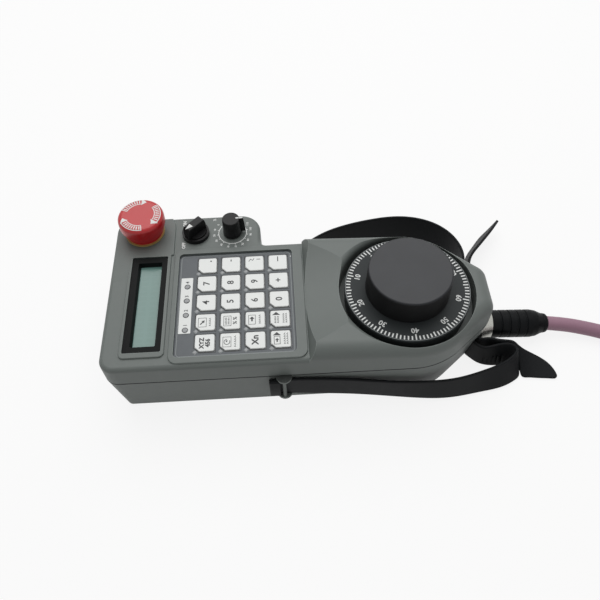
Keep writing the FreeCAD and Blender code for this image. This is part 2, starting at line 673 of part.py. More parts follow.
def handwheel_dial():
    thick = 3.4
    foot = WELL_FLOOR_Z + 1.0
    return turned([
        (SHAFT_R, foot + 0.6), (9.0, foot + 0.6), (9.0, RING_Z - thick), (RING_R - 2.6, RING_Z - thick),
        (RING_R - 2.6, foot), (RING_R - 0.6, foot), (RING_R, RING_Z - 0.8), (RING_R - 0.7, RING_Z),
        (SHAFT_R, RING_Z),
    ])


def handwheel_cap():
    cap = turned([
        (SHAFT_R, RING_Z), (7.0, RING_Z), (7.0, CAP_TOP_Z - 3), (CAP_R - 3.4, CAP_TOP_Z - 3),
        (CAP_R - 2.6, RING_Z), (CAP_R, RING_Z), (CAP_R - 0.5, CAP_TOP_Z), (0, CAP_TOP_Z),
        (0, SHAFT_TOP_Z), (SHAFT_R, SHAFT_TOP_Z),
    ])
    return cap.makeFillet(1.2, edges_at(cap, CAP_TOP_Z))


def encoder_disc():
    disc = ring(ENCODER_R - 6, SHAFT_R, 31.0, 32.0).fuse(ring(8.0, SHAFT_R, 28.5, 31.0))
    slots = []
    for i in range(36):
        slot = block(ENCODER_R - 10.5, ENCODER_R - 7.5, -0.7, 0.7, 30, 33)
        slot.rotate(ORIGIN, Z_AXIS, i * 10)
        slots.append(slot)
    return disc.cut(slots)


def encoder_housing():
    top = WELL_FLOOR_Z - WALL
    return turned([
        (0, 16.0), (ENCODER_R, 16.0), (ENCODER_R, top), (WELL_BORE_R - 0.1, top),
        (WELL_BORE_R - 0.1, top + 3.2), (BEARING_R, top + 3.2), (BEARING_R, top - 2.6), (7.0, top - 2.6),
        (7.0, top - 3.6),
        (ENCODER_R - 2.5, top - 3.6), (ENCODER_R - 2.5, 18.5), (WELL_BORE_R, 18.5), (WELL_BORE_R, 26.0),
        (BEARING_R, 26.0), (BEARING_R, 20.0), (0, 20.0),
    ])


def wheel_bearings():
    top = WELL_FLOOR_Z - WALL
    return [ring(BEARING_R, SHAFT_R + 0.05, low, low + 5.6) for low in (20.0, top - 2.6)]


# Main board

def main_board():
    x0, x1, y0, y1 = -176.0, -73.0, -34.0, 34.0
    board = prism(rectangle((x0, x1, y0, y1), 2.0), BOARD_Z, BOARD_Z + BOARD_THICK)
    top = BOARD_Z + BOARD_THICK
    chips = [(-150, -8, 22, 22, 3), (-118, 6, 28, 12, 2.6), (-118, -16, 28, 12, 2.6), (-92, 0, 12, 40, 7),
             (-160, 22, 10, 14, 5)]
    return board.fuse([block(x - a / 2, x + a / 2, y - b / 2, y + b / 2, top - 0.1, top + h)
                       for x, y, a, b, h in chips])


# Cable, connectors and coil

def cable_receptacle():
    """Flange and cone on the nose, with the threaded neck that the connector screws on to."""
    cone_end = CONNECTOR_FROM - 0.05
    return on_receptacle_axis(turned_along_x([
        (-8, 0), (-8, 7.0), (0.06, 7.0), (0.06, 12.6), (1.6, 12.6), (cone_end, 10.0), (cone_end, 8.0),
        (18, 8.0), (18, 6.6), (12, 6.6), (12, 0),
    ]))


def cable_connector():
    """Screwed sleeve with four shallow grip grooves and a tapered cable end."""
    depth = 0.5
    profile = [(CONNECTOR_FROM, 8.05), (CONNECTOR_FROM, CONNECTOR_R - depth),
               (CONNECTOR_FROM + depth, CONNECTOR_R)]
    for start in CONNECTOR_GROOVES:
        profile += [(start, CONNECTOR_R), (start + depth, CONNECTOR_R - depth),
                    (start + 1.1, CONNECTOR_R - depth), (start + 1.6, CONNECTOR_R)]
    profile += [(38.5, CONNECTOR_R), (42.5, 9.0), (46.0, 7.4), (CLAMP_FROM, 7.0), (CLAMP_FROM, CABLE_R + 1),
                (18.2, CABLE_R + 1), (18.2, 8.05)]
    return on_receptacle_axis(turned_along_x(profile))


def cable_clamp():
    return on_receptacle_axis(turned_along_x([
        (CLAMP_FROM, 0), (CLAMP_FROM, 6.6), (CLAMP_FROM + 1.0, 6.9), (CLAMP_TO - 0.8, 6.6), (CLAMP_TO, 5.9),
        (CLAMP_TO, 0),
    ]))


def receptacle_axis_point(distance):
    lean = math.atan2(NOSE_DRAFT, PARTING_Z)
    start_x = NOSE_X - draft_at(RECEPTACLE_Z, NOSE_DRAFT)
    return vec(start_x + distance * math.cos(lean), 0, RECEPTACLE_Z - distance * math.sin(lean))


COIL_FLOOR_Z = TIE_THICK + 0.1
COIL_LOW_Z = COIL_FLOOR_Z + CABLE_R
COIL_TOP_Z = COIL_FLOOR_Z + COIL_ROWS * COIL_PITCH
COIL_OUTER_R = COIL_MEAN_R + (COIL_LAYERS / 2) * COIL_PITCH
COIL_INNER_R = COIL_MEAN_R - (COIL_LAYERS / 2) * COIL_PITCH
PLUG_R = 11.0

LEAD_ROUTE = [
    receptacle_axis_point(CLAMP_TO - 1.0), vec(115.5, -0.8, 8.5), vec(131.0, -4.0, 7.0),
    vec(149.2, -10.0, 6.0),
    vec(166.0, -24.6, COIL_LOW_Z), vec(175.2, -44.8, COIL_LOW_Z), vec(175.9, -67.0, COIL_LOW_Z),
]
PLUG_ROUTE = [
    vec(281.15, -5.12, COIL_LOW_Z), vec(268.71, 3.33, COIL_LOW_Z + 0.1), vec(257.09, 14.2, 7.6),
    vec(246.33, 27.57, PLUG_R + 0.2), vec(238.1, 38.32, PLUG_R + 0.2),
]


def cable_tube(name, route):
    """Round tube along straight runs joined by the largest tangent arcs that the runs allow."""
    edges = []
    last = route[0]
    for before, corner, after in zip(route, route[1:], route[2:]):
        back = (before - corner).normalize()
        ahead = (after - corner).normalize()
        half_turn = (math.pi - back.getAngle(ahead)) / 2
        reach = 0.45 * min((before - corner).Length, (after - corner).Length)
        radius = reach / math.tan(half_turn)
        inward = (back + ahead).normalize()
        middle = corner + inward * (radius / math.cos(half_turn) - radius)
        start = corner + back * reach
        end = corner + ahead * reach
        edges.append(Part.LineSegment(last, start).toShape())
        edges.append(Part.Arc(start, middle, end).toShape())
        last = end
        print(name, "bend radius", round(radius, 1))
    edges.append(Part.LineSegment(last, route[-1]).toShape())
    path = Part.Wire(edges)
    section = Part.Wire(Part.makeCircle(CABLE_R, route[0], route[1] - route[0]))
    tube = path.makePipeShell([section], True, False)
    print(name, "length", round(path.Length, 1), "volume ratio",
          round(tube.Volume / (math.pi * CABLE_R ** 2 * path.Length), 4))
    return tube


def cable_coil():
    return ring(COIL_OUTER_R, COIL_INNER_R, COIL_FLOOR_Z, COIL_TOP_Z, *COIL_CENTRE)


def cable_ties():
    """Two flat bands round the coil's section."""
    ties = []
    gap = 0.1
    for angle in (45, 225):
        outer = block(COIL_INNER_R - gap - TIE_THICK, COIL_OUTER_R + gap + TIE_THICK, -6, 6, 0,
                      COIL_TOP_Z + gap + TIE_THICK)
        inner = block(COIL_INNER_R - 1.0, COIL_OUTER_R + gap, -7, 7, TIE_THICK, COIL_TOP_Z + gap)
        tie = outer.cut(inner)
        tie.rotate(ORIGIN, Z_AXIS, angle)
        tie.translate(vec(*COIL_CENTRE))
        ties.append(tie)
    return ties


def cable_plug():
    plug = turned_along_x([
        (0, 0), (0, 6.4), (8, 7.4), (9, PLUG_R - 1), (10, PLUG_R), (30, PLUG_R), (31, PLUG_R - 1),
        (31, 9.2), (43, 9.2), (44, 8.6), (44, 7.4), (34, 7.4), (34, 0),
    ])
    start, end = PLUG_ROUTE[-2:]
    plug.rotate(ORIGIN, Z_AXIS, math.degrees(math.atan2(end.y - start.y, end.x - start.x)))
    plug.translate(end)
    return plug


# Hand straps

def spline_through(points, knots):
    curve = Part.BSplineCurve()
    curve.interpolate(Points=points, Parameters=knots)
    return curve


def ribbon(stations):
    """Flat band through stations, each a (foot, head) pair of points on its two edges."""
    middles = [(foot + head) * 0.5 for foot, head in stations]
    knots = [0.0]
    for start, end in zip(middles, middles[1:]):
        knots.append(knots[-1] + math.sqrt((end - start).Length))
    lower = spline_through([foot for foot, _head in stations], knots)
    upper = spline_through([head for _foot, head in stations], knots)
    sections = []
    for i in range(RIBBON_STEPS + 1):
        step = knots[-1] * i / RIBBON_STEPS
        foot = lower.value(step)
        head = upper.value(step)
        travel = lower.tangent(step)[0] + upper.tangent(step)[0]
        across = travel.cross(head - foot).normalize() * (STRAP_THICK / 2)
        corners = [foot - across, foot + across, head + across, head - across]
        sections.append(Part.makePolygon(corners + corners[:1]))
    return Part.makeLoft(sections, True, True)


def upright(x, y, foot_z, width=STRAP_WIDTH):
    return vec(x, y, foot_z), vec(x, y, foot_z + width)


def pocket_turn(side):
    """The strap's way into the nose pocket, round its bar and out again."""
    along = sum(POCKET) / 2
    bend = POCKET_BAR_R + 0.4 + STRAP_THICK / 2
    places = [(POCKET_BAR_N + 3.5, along - bend), (POCKET_BAR_N, along - bend)]
    places += [(POCKET_BAR_N - bend * 0.71, along - bend * 0.71), (POCKET_BAR_N - bend, along),
               (POCKET_BAR_N - bend * 0.71, along + bend * 0.71)]
    places += [(POCKET_BAR_N, along + bend), (POCKET_BAR_N + 3.5, along + bend)]
    return [upright(*nose_point(out, run, side), POCKET_STRAP_Z) for out, run in places]


def strap_near():
    outer = [
        upright(-88.0, -STRAP_LUG_Y, STRAP_LUG_Z, STRAP_LUG_WIDTH),
        upright(-80.0, -STRAP_LUG_Y, STRAP_LUG_Z, STRAP_LUG_WIDTH),
        upright(-72.0, -STRAP_LUG_Y, STRAP_LUG_Z - 0.6, STRAP_LUG_WIDTH + 0.3),
        upright(-56.0, -STRAP_LUG_Y, 16.0),
        upright(-36.0, -STRAP_LUG_Y, 12.6),
        (vec(-9.0, -48.9, 8.0), vec(-10.5, -48.3, 27.0)),
        (vec(18.5, -50.0, 4.0), vec(17.0, -47.2, 22.7)),
        (vec(35.0, -48.4, 2.0), vec(33.0, -44.6, 20.4)),
        (vec(49.6, -45.8, 1.0), vec(47.4, -40.2, 18.6)),
        (vec(64.0, -43.2, 0.9), vec(62.0, -34.6, 17.4)),
    ]
    loop = [
        (vec(73.4, -39.2, 0.9), vec(71.2, -29.0, 16.6)),
        (vec(77.6, -33.2, 0.9), vec(75.8, -23.6, 16.9)),
        (vec(74.6, -27.6, 0.9), vec(73.4, -20.2, 18.0)),
        (vec(68.0, -26.2, 0.9), vec(67.0, -19.4, 18.2)),
    ]
    inner = [
        (vec(60.0, -26.0, 1.0), vec(59.6, -21.4, 19.2)),
        (vec(52.6, -23.6, 1.3), vec(52.8, -22.4, 20.1)),
    ]
    tongue = [
        (vec(58.2, -18.9, 1.4), vec(57.6, -15.6, 20.0)),
        (vec(65.4, -21.6, 1.2), vec(65.0, -16.9, 19.4)),
        (vec(72.4, -24.2, 1.1), vec(72.2, -17.2, 18.0)),
        (vec(79.0, -29.2, 1.1), vec(78.2, -17.6, 14.0)),
        (vec(81.4, -35.0, 1.2), vec(82.6, -18.2, 8.2)),
        (vec(86.0, -37.6, 1.2), vec(87.4, -18.9, 4.4)),
        (vec(92.2, -38.7, 1.2), vec(93.2, -20.8, 2.8)),
        (vec(98.6, -39.3, 1.2), vec(100.4, -28.8, 1.9)),
        (vec(102.8, -39.0, 1.2), vec(103.4, -37.2, 1.25)),
    ]
    band = ribbon(outer + loop + inner + pocket_turn(-1) + tongue)
    return band.fuse(strap_end(-1))


def strap_far():
    band = [
        upright(-88.0, STRAP_LUG_Y, STRAP_LUG_Z, STRAP_LUG_WIDTH),
        upright(-81.5, STRAP_LUG_Y - 0.1, STRAP_LUG_Z, STRAP_LUG_WIDTH),
        upright(-76.4, STRAP_LUG_Y + 1.1, STRAP_LUG_Z - 0.3, STRAP_LUG_WIDTH + 0.3),
        upright(-70.0, 53.4, STRAP_LUG_Z - 1.0, STRAP_LUG_WIDTH + 0.8),
        upright(-54.0, 67.4, 15.5),
        upright(-34.0, 79.0, 12.6),
        upright(-10.0, 87.0, 9.6),
        upright(14.0, 90.2, 7.0),
        upright(35.0, 86.0, 4.8),
        upright(48.4, 77.0, 3.2),
        upright(54.0, 65.0, 2.2),
        upright(54.4, 53.0, 1.6),
        upright(51.6, 38.0, 1.2),
        upright(50.6, 26.0, 1.0),
    ]
    tongue = [
        upright(56.0, 26.0, 0.8),
        (vec(58.6, 42.0, 0.9), vec(58.0, 38.0, 19.2)),
        (vec(62.0, 60.0, 1.2), vec(61.4, 50.2, 17.4)),
        (vec(69.6, 75.0, 2.0), vec(68.8, 64.8, 17.8)),
        (vec(80.0, 87.4, 3.4), vec(79.2, 78.6, 16.8)),
        (vec(89.4, 95.6, 6.2), vec(89.0, 91.6, 12.6)),
        (vec(92.4, 98.0, 8.6), vec(92.2, 97.0, 10.4)),
    ]
    return ribbon(band + pocket_turn(1) + tongue).fuse(strap_end(1))


def strap_end(side):
    """Thickened end that keeps the strap from slipping through its lug."""
    inner = STRAP_LUG_Y - STRAP_THICK / 2
    x0, x1 = LUG_X - LUG_R - 4.6, LUG_X - LUG_PIN_R - 1.2
    y0, y1 = sorted((side * inner, side * (inner + 3.6)))
    corners = [(x0, y0, 0.8), (x1, y0, 0.8), (x1, y1, 0.8), (x0, y1, 0.8)]
    return prism(corners, STRAP_LUG_Z, STRAP_LUG_Z + STRAP_LUG_WIDTH)


def strap_pins():
    y = STRAP_LUG_Y + STRAP_THICK / 2 + LUG_PIN_R + 0.05
    low = STRAP_LUG_Z - 0.4 - LUG_THICK
    return [rod(LUG_PIN_R, low, LUG_TOP_Z, LUG_X, side * y) for side in (-1, 1)]


def main():
    save("rear_case", rear_case())
    save("front_case", front_case())
    save("case_gasket", case_gasket())
    save("case_screws", *case_screws())
    save("main_board", main_board())

    frame, glass, board = display_module()
    save("display_bezel", display_bezel())
    save("lcd_frame", frame)
    save("lcd_glass", glass)
    save("lcd_board", board)

    save("key_overlay", key_overlay())
    save("key_board", prism(rectangle(KEY_BOARD, 1.0), KEY_BOARD_TOP - 1.6, KEY_BOARD_TOP), *key_domes())
    save("panel_lamps", *key_lamps(), *status_lamps())
    save("status_strip", status_strip())
    for row, column, x, y in key_places():
        save(f"key_r{row}c{column}", key_cap(x, y))

    collar_heights = (ESTOP_COLLAR_LOW, ESTOP_COLLAR_TOP)
    save("estop_collar", ring(ESTOP_COLLAR_R, ESTOP_BARREL_R, *collar_heights, *ESTOP_XY))
    save("estop_head", estop_head())
    save("estop_stem", rod(5.0, ESTOP_BLOCK_TOP + ESTOP_TRAVEL + 0.5, ESTOP_CROWN_Z, *ESTOP_XY))
    save("estop_barrel", estop_barrel())
    save("estop_contacts", block(ESTOP_XY[0] - 8.5, ESTOP_XY[0] + 8.5, ESTOP_XY[1] - 8.5, ESTOP_XY[1] + 8.5,
                                 30.0, ESTOP_BLOCK_TOP))
    save("estop_spring", estop_spring())

    save("selector_knob", selector_knob())
    save("selector_bezel", ring(9.2, 7.7, PLATEAU_Z, PLATEAU_Z + 3.0, *SELECTOR_XY))
    save("selector_block", selector_block())
    save("override_knob", override_knob(), rod(2.5, 43.0, PLATEAU_Z + 11.0, *OVERRIDE_XY))
    save("override_switch", override_switch())
    save("panel_nuts", estop_nut(), selector_nut(), override_nut())

    save("handwheel_dial", handwheel_dial())
    save("handwheel_cap", handwheel_cap())
    save("handwheel_shaft", rod(SHAFT_R, 20.6, SHAFT_TOP_Z))
    save("encoder_disc", encoder_disc())
    save("encoder_housing", encoder_housing())
    save("wheel_bearings", *wheel_bearings())

    save("cable_receptacle", cable_receptacle())
    clamp = cable_clamp()
    save("cable_connector", cable_connector(), clamp)
    coil = cable_coil()
    save("cable", *[cable_tube(name, route).cut([clamp, coil])
                    for name, route in (("lead", LEAD_ROUTE), ("plug end", PLUG_ROUTE))])
    save("cable_coil", coil)
    save("cable_ties", *cable_ties())
    save("cable_plug", cable_plug())

    save("strap_near", strap_near())
    save("strap_far", strap_far())
    save("strap_pins", *strap_pins())


main()
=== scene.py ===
# %% [markdown]
# # A handheld operator panel
# The panel's shapes and joints come from its solid model, which is loaded here as a fixed frame. This
# lesson adds what the solids leave open: the finishes, the printed scales and signs, the soft straps and
# the cable. Everything is in metres, in the frame of the solids: the handwheel turns about the Z axis, and
# the cable leaves towards +X.

# %% Load the frame
import math

import bmesh
import bpy
import numpy as np
from mathutils import Matrix, Vector


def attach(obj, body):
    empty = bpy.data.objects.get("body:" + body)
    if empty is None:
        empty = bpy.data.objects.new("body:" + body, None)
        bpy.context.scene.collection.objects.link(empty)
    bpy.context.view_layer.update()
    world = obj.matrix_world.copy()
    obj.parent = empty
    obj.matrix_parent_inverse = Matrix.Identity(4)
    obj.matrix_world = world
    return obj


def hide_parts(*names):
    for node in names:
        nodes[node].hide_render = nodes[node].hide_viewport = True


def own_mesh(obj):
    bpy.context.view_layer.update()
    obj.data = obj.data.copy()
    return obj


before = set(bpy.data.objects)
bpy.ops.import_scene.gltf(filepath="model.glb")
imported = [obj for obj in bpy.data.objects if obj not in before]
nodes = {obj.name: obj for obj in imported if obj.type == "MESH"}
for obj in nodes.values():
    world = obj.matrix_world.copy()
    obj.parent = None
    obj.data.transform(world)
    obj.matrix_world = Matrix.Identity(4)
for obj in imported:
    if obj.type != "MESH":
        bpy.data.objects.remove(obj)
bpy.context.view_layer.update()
MM = 0.001

# %% [markdown]
# ## The camera
# The photograph was taken from above the near long side, a little turned. Its angles and distance were
# solved from the panel's straight edges and circles, so the camera is written down as those angles.

# %% Camera
YAW = math.radians(-1.58)
ELEVATION = math.radians(54.97)
ROLL = math.radians(-1.7)
TARGET = Vector((-68.08, 13.64, 34.0)) * MM
DISTANCE = 432.27 * MM
LENS = 38.1
SENSOR = 36.0


def shown(name, data):
    """Adds an object to the scene."""
    thing = bpy.data.objects.new(name, data)
    bpy.context.scene.collection.objects.link(thing)
    return thing


def aim_camera():
    back = Vector((math.sin(YAW) * math.cos(ELEVATION), -math.cos(YAW) * math.cos(ELEVATION),
                   math.sin(ELEVATION)))
    across = Vector((0, 0, 1)).cross(back).normalized()
    upward = back.cross(across)
    right = across * math.cos(ROLL) + upward * math.sin(ROLL)
    up = upward * math.cos(ROLL) - across * math.sin(ROLL)
    camera = shown("camera", bpy.data.cameras.new("camera"))
    camera.data.lens = LENS
    camera.data.sensor_width = SENSOR
    turn = Matrix((right, up, back)).transposed().to_4x4()
    camera.matrix_world = Matrix.Translation(TARGET + back * DISTANCE) @ turn
    bpy.context.scene.camera = camera
    return camera


camera = aim_camera()
print("camera at", [round(v, 3) for v in camera.matrix_world.translation])

# %% [markdown]
# ## Sums with sockets
# A shader is a chain of small sums. Written as nodes they are long, so this class wraps one socket and lets
# Python's operators add the Math nodes. Every other node comes from its `node` method: settings first,
# then the values or links of the sockets.

# %% Socket sums

class Flow:
    """One output socket of a node tree."""

    def __init__(self, tree, socket=None):
        self.tree = tree
        self.socket = socket

    def node(self, kind, settings=None, inputs=None, out=0):
        made = self.tree.nodes.new(kind)
        for name, value in (settings or {}).items():
            setattr(made, name, value)
        for name, value in (inputs or {}).items():
            if isinstance(value, Flow):
                self.tree.links.new(value.socket, made.inputs[name])
            else:
                made.inputs[name].default_value = value
        return Flow(self.tree, made.outputs[out] if made.outputs else None)

    def math(self, operation, first, second=0.0):
        return self.node("ShaderNodeMath", {"operation": operation}, {0: first, 1: second})

    def __add__(self, other):
        return self.math("ADD", self, other)

    __radd__ = __add__

    def __sub__(self, other):
        return self.math("SUBTRACT", self, other)

    def __rsub__(self, other):
        return self.math("SUBTRACT", other, self)

    def __mul__(self, other):
        return self.math("MULTIPLY", self, other)

    __rmul__ = __mul__

    def __truediv__(self, other):
        return self.math("DIVIDE", self, other)

    def __rtruediv__(self, other):
        return self.math("DIVIDE", other, self)

    def __lt__(self, other):
        return self.math("LESS_THAN", self, other)

    def __gt__(self, other):
        return self.math("GREATER_THAN", self, other)

    def axis(self, number):
        """One number of a vector: 0 for X, 1 for Y, 2 for Z."""
        return self.node("ShaderNodeSeparateXYZ", None, {"Vector": self}, out=number)

    def mixed(self, dark, light):
        """Goes from one colour to another as this value goes from 0 to 1."""
        sides = {0: self}
        for place, side in ((6, dark), (7, light)):
            sides[place] = side if isinstance(side, Flow) else (*side, 1)
        return self.node("ShaderNodeMix", {"data_type": "RGBA"}, sides, out=2)


print("socket sums ready")

# %% [markdown]
# ## Finishes
# Nearly everything here is moulded plastic or rubber. Such a surface has one colour, a fine grain from the
# mould, and a slow change of tone where hands and dust have been. So one function makes them all from a
# noise that is as fine as the grain, one as wide as a hand, and a bump that follows the grain. The case also
# has pale edges, partly wear and partly a painted highlight, and a band of painted shade along the seam of
# its two shells.

# %% Moulded finishes

def new_finish(name):
    """A new material, its shader, and the place on the piece as a first socket."""
    material = bpy.data.materials.new(name)
    material.use_nodes = True
    shader = material.node_tree.nodes["Principled BSDF"]
    return material, shader, Flow(material.node_tree).node("ShaderNodeTexCoord", out=3)


def feed(shader, name, value):
    if isinstance(value, Flow):
        value.tree.links.new(value.socket, shader.inputs[name])
    else:
        shader.inputs[name].default_value = value


def noise(place, scale, detail, roughness=0.5):
    return place.node("ShaderNodeTexNoise", None,
                      {"Vector": place, "Scale": scale, "Detail": detail, "Roughness": roughness})


def dent(shader, height, strength, depth_mm):
    """Bumps a shader's surface by a height."""
    bump = height.node("ShaderNodeBump", None,
                       {"Strength": strength, "Distance": depth_mm * MM, "Height": height})
    feed(shader, "Normal", bump)


PALE_EDGE_WIDE = 0.7       # how far wear and painted highlight reach from an edge, in millimetres
PALE_EDGE_GAIN = 5.0
HAND_SCALE = 28.0       # noise scale of the slow change of tone
SCUFF_SCALE = 240.0     # noise scale of small scuffs


def worn_edges(place):
    """1 on sharp edges: there the direction of a surface differs from its mean over a small ball."""
    mean = place.node("ShaderNodeBevel", {"samples": 6}, {"Radius": PALE_EDGE_WIDE * MM})
    facing = place.node("ShaderNodeNewGeometry", out=1)
    alike = place.node("ShaderNodeVectorMath", {"operation": "DOT_PRODUCT"}, {0: mean, 1: facing}, out=1)
    return place.math("MINIMUM", (1 - alike) * PALE_EDGE_GAIN, 1.0)


def moulded(name, colour, roughness, grain_mm=0.5, bump=0.06, tone=0.08, gloss=0.5, wear=0.10, edge=0.0,
            seam_shade=None):
    """Plastic or rubber with a mould grain. tone is how much its colour drifts, wear how much its shine does,
    and edge how far its edges are painted pale, partly as wear and partly as a painted highlight. seam_shade
    gives two heights between which the colour is darkened as painted shade."""
    material, shader, place = new_finish(name)
    grain = noise(place, 1 / (grain_mm * MM), 2.0, 0.6)
    drift = noise(place, HAND_SCALE, 4.0, 0.55)
    scuff = noise(place, SCUFF_SCALE, 3.0, 0.7)
    dark = [c * (1 - tone) for c in colour]
    light = [min(1.0, c * (1 + tone) + 0.004) for c in colour]
    shade = (drift - 0.5) * 1.6 + (grain - 0.5) * 0.7 + 0.5
    body = shade.mixed(dark, light)
    if edge:
        # Pale edges: partly wear, partly a painted highlight where light catches them.
        rubbed_and_highlit = worn_edges(place) * edge * (0.5 + scuff)
        body = rubbed_and_highlit.mixed(body, [min(1.0, c * 2 + 0.02) for c in colour])
    if seam_shade:
        # Painted shade: a dark band between two heights, along the groove of the seam.
        height = place.axis(2)
        seam_shade_mask = (height > seam_shade[0] * MM) * (height < seam_shade[1] * MM) * (0.6 + scuff * 0.4)
        body = seam_shade_mask.mixed(body, [c * 0.1 for c in colour])
    feed(shader, "Base Color", body)
    feed(shader, "Roughness", roughness + (drift - 0.5) * wear + (scuff - 0.5) * wear)
    feed(shader, "Specular IOR Level", gloss)
    dent(shader, grain + scuff * 0.4, bump, 0.4)
    return material


def srgb(red, green, blue):
    """A screen colour, 0 to 255, as the linear colour that shaders use."""
    return [(c / 255 / 12.92) if c <= 10 else ((c / 255 + 0.055) / 1.055) ** 2.4 for c in (red, green, blue)]


SEAM = (38.65, 39.95)   # heights of the gap between the shells, between which the case gets painted shade
# Both shells get pale edges, partly wear and partly a painted highlight, and painted shade along the seam.
case_plastic = moulded("case_plastic", srgb(97, 103, 100), 0.52, 0.45, 0.10, 0.05, edge=0.9, seam_shade=SEAM)
rear_plastic = moulded("rear_plastic", srgb(92, 98, 95), 0.56, 0.45, 0.12, 0.05, edge=0.9, seam_shade=SEAM)
black_plastic = moulded("black_plastic", srgb(9, 11, 13), 0.40, 0.35, 0.05, 0.12, 0.08)
knob_plastic = moulded("knob_plastic", srgb(10, 10, 12), 0.36, 0.35, 0.05, 0.12, 0.2)
bezel_plastic = moulded("bezel_plastic", srgb(10, 13, 13), 0.45, 0.5, 0.03, 0.10, 0.08)
film_plastic = moulded("film_plastic", srgb(76, 81, 85), 0.50, 0.30, 0.08, 0.05)
key_plastic = moulded("key_plastic", srgb(232, 234, 232), 0.45, 0.30, 0.05, 0.02)
strip_plastic = moulded("strip_plastic", srgb(226, 228, 226), 0.40, 0.30, 0.04, 0.02)
lamp_plastic = moulded("lamp_plastic", srgb(142, 144, 146), 0.25, 0.30, 0.03, 0.08)
# Its pale edges are a painted highlight on the rim of the head.
estop_plastic = moulded("estop_plastic", srgb(184, 20, 27), 0.30, 0.60, 0.03, 0.06, edge=0.4)
collar_plastic = moulded("collar_plastic", srgb(176, 146, 84), 0.40, 0.50, 0.04, 0.06)
dial_plastic = moulded("dial_plastic", srgb(42, 46, 47), 0.46, 0.35, 0.06, 0.08, 0.15)
strap_rubber = moulded("strap_rubber", srgb(14, 16, 18), 0.50, 0.40, 0.10, 0.14, 0.10)
seal_rubber = moulded("seal_rubber", srgb(12, 12, 12), 0.70, 0.40, 0.08, 0.10, 0.1)
white_ink = moulded("white_ink", srgb(226, 228, 226), 0.55, 0.25, 0.04, 0.04)
dark_ink_and_shade = moulded("dark_ink_and_shade", srgb(38, 40, 42), 0.55, 0.25, 0.04, 0.08)
grey_ink_and_highlight = moulded("grey_ink_and_highlight", srgb(134, 139, 139), 0.55, 0.25, 0.04, 0.05)
print("moulded finishes", len(bpy.data.materials))

# %% [markdown]
# Metal parts are few: the receptacle, nuts, screws, shafts and a spring. Plated metal shows fine turning
# marks, so a stretched noise moves its roughness, and its tone dulls slowly. The display's glass and the
# lacquered boards get a finish each: rows of cells on one, copper tracks under the other.

# %% Metals, glass and boards

def plated(name, colour, roughness):
    material, shader, place = new_finish(name)
    stretch = place.node("ShaderNodeMapping", None, {"Vector": place, "Scale": (4.0, 0.25, 4.0)})
    lines = noise(stretch, 900.0, 2.0, 0.7)
    dull = noise(place, 120.0, 4.0)
    tone = (lines - 0.5) * 0.5 + (dull - 0.5) * 0.8 + 0.5
    feed(shader, "Base Color", tone.mixed([c * 0.86 for c in colour], colour))
    feed(shader, "Roughness", roughness + (lines - 0.5) * 0.2 + (dull - 0.5) * 0.15)
    feed(shader, "Metallic", 1.0)
    dent(shader, lines, 0.04, 0.3)
    return material


PANE_CORNER = (-173.4, -29.9)
ROW_PITCH = 6.9
LETTER_PITCH = 3.97


def display_glass(name):
    """Pale teal with two rows of character cells that barely show, and painted shade that darkens it towards
    +X.
    """
    material, shader, place = new_finish(name)
    across, along = (place.axis(i) - PANE_CORNER[i] * MM for i in (0, 1))
    row = place.math("FRACT", across / (ROW_PITCH * MM))
    letter = place.math("FRACT", along / (LETTER_PITCH * MM))
    cell = (row > 0.16) * (row < 0.84) * (letter > 0.14) * (letter < 0.86)
    drift = noise(place, 40.0, 2.0)
    # Painted shade: the colour darkens steadily towards +X across the pane.
    shade = cell * 0.12 + (drift - 0.5) * 0.5 + across * 30.0
    feed(shader, "Base Color", shade.mixed(srgb(102, 136, 129), srgb(88, 122, 113)))
    feed(shader, "Roughness", 0.12 + drift * 0.1)
    return material


def printed_board(name):
    """Green lacquer over copper tracks."""
    material, shader, place = new_finish(name)
    cells = place.node("ShaderNodeTexVoronoi", {"distance": "CHEBYCHEV"}, {"Vector": place, "Scale": 260.0})
    track = cells > 0.42
    feed(shader, "Base Color", track.mixed(srgb(24, 84, 52), srgb(52, 118, 76)))
    feed(shader, "Roughness", 0.3 + track * 0.15)
    dent(shader, track, 0.1, 0.2)
    return material


nickel = plated("nickel", srgb(180, 180, 174), 0.28)
steel = plated("steel", srgb(150, 152, 155), 0.38)
lcd_pane = display_glass("lcd_pane")
board_green = printed_board("board_green")
print("finishes", len(bpy.data.materials))

# %% [markdown]
# The handwheel's cap is the one polished piece. Its top shines, with the haze and hair scratches that a thumb
# leaves, and a thin clear coat; its colour there is painted lighter as a painted reflection, mottled by the
# haze. Its sides are duller and painted darker as painted shade. The direction in which the surface faces
# tells the top from the sides.

# %% Polished cap

def polished(name, colour, roughness):
    material, shader, place = new_finish(name)
    haze = noise(place, 60.0, 5.0)
    stretch = place.node("ShaderNodeMapping", None, {"Vector": place, "Scale": (0.2, 3.0, 1.0)})
    hair = noise(stretch, 700.0, 2.0)
    facing = place.node("ShaderNodeTexCoord", out=1)
    top = place.math("MAXIMUM", facing.axis(2), 0.0)
    # Painted reflection and shade: the colour is lighter on the top, mottled by the haze, and nearly black on
    # the sides.
    shade = top * 0.6 + top * haze * 0.4
    feed(shader, "Base Color", shade.mixed([c * 0.06 for c in colour], [c * 1.2 for c in colour]))
    feed(shader, "Roughness", roughness + (1 - top) * 0.3 + (haze - 0.5) * 0.12 + (hair - 0.5) * 0.1)
    feed(shader, "Specular IOR Level", 0.2)
    feed(shader, "Coat Weight", top * (0.1 + haze * 0.1))
    dent(shader, hair, 0.02, 0.3)
    return material


cap_gloss = polished("cap_gloss", srgb(34, 36, 40), 0.36)
print("finishes", len(bpy.data.materials))

# %% [markdown]
# ## Dressing the solids
# Each solid of the frame gets one finish. The table names the solids of each finish, and the keys are found
# by the start of their name.

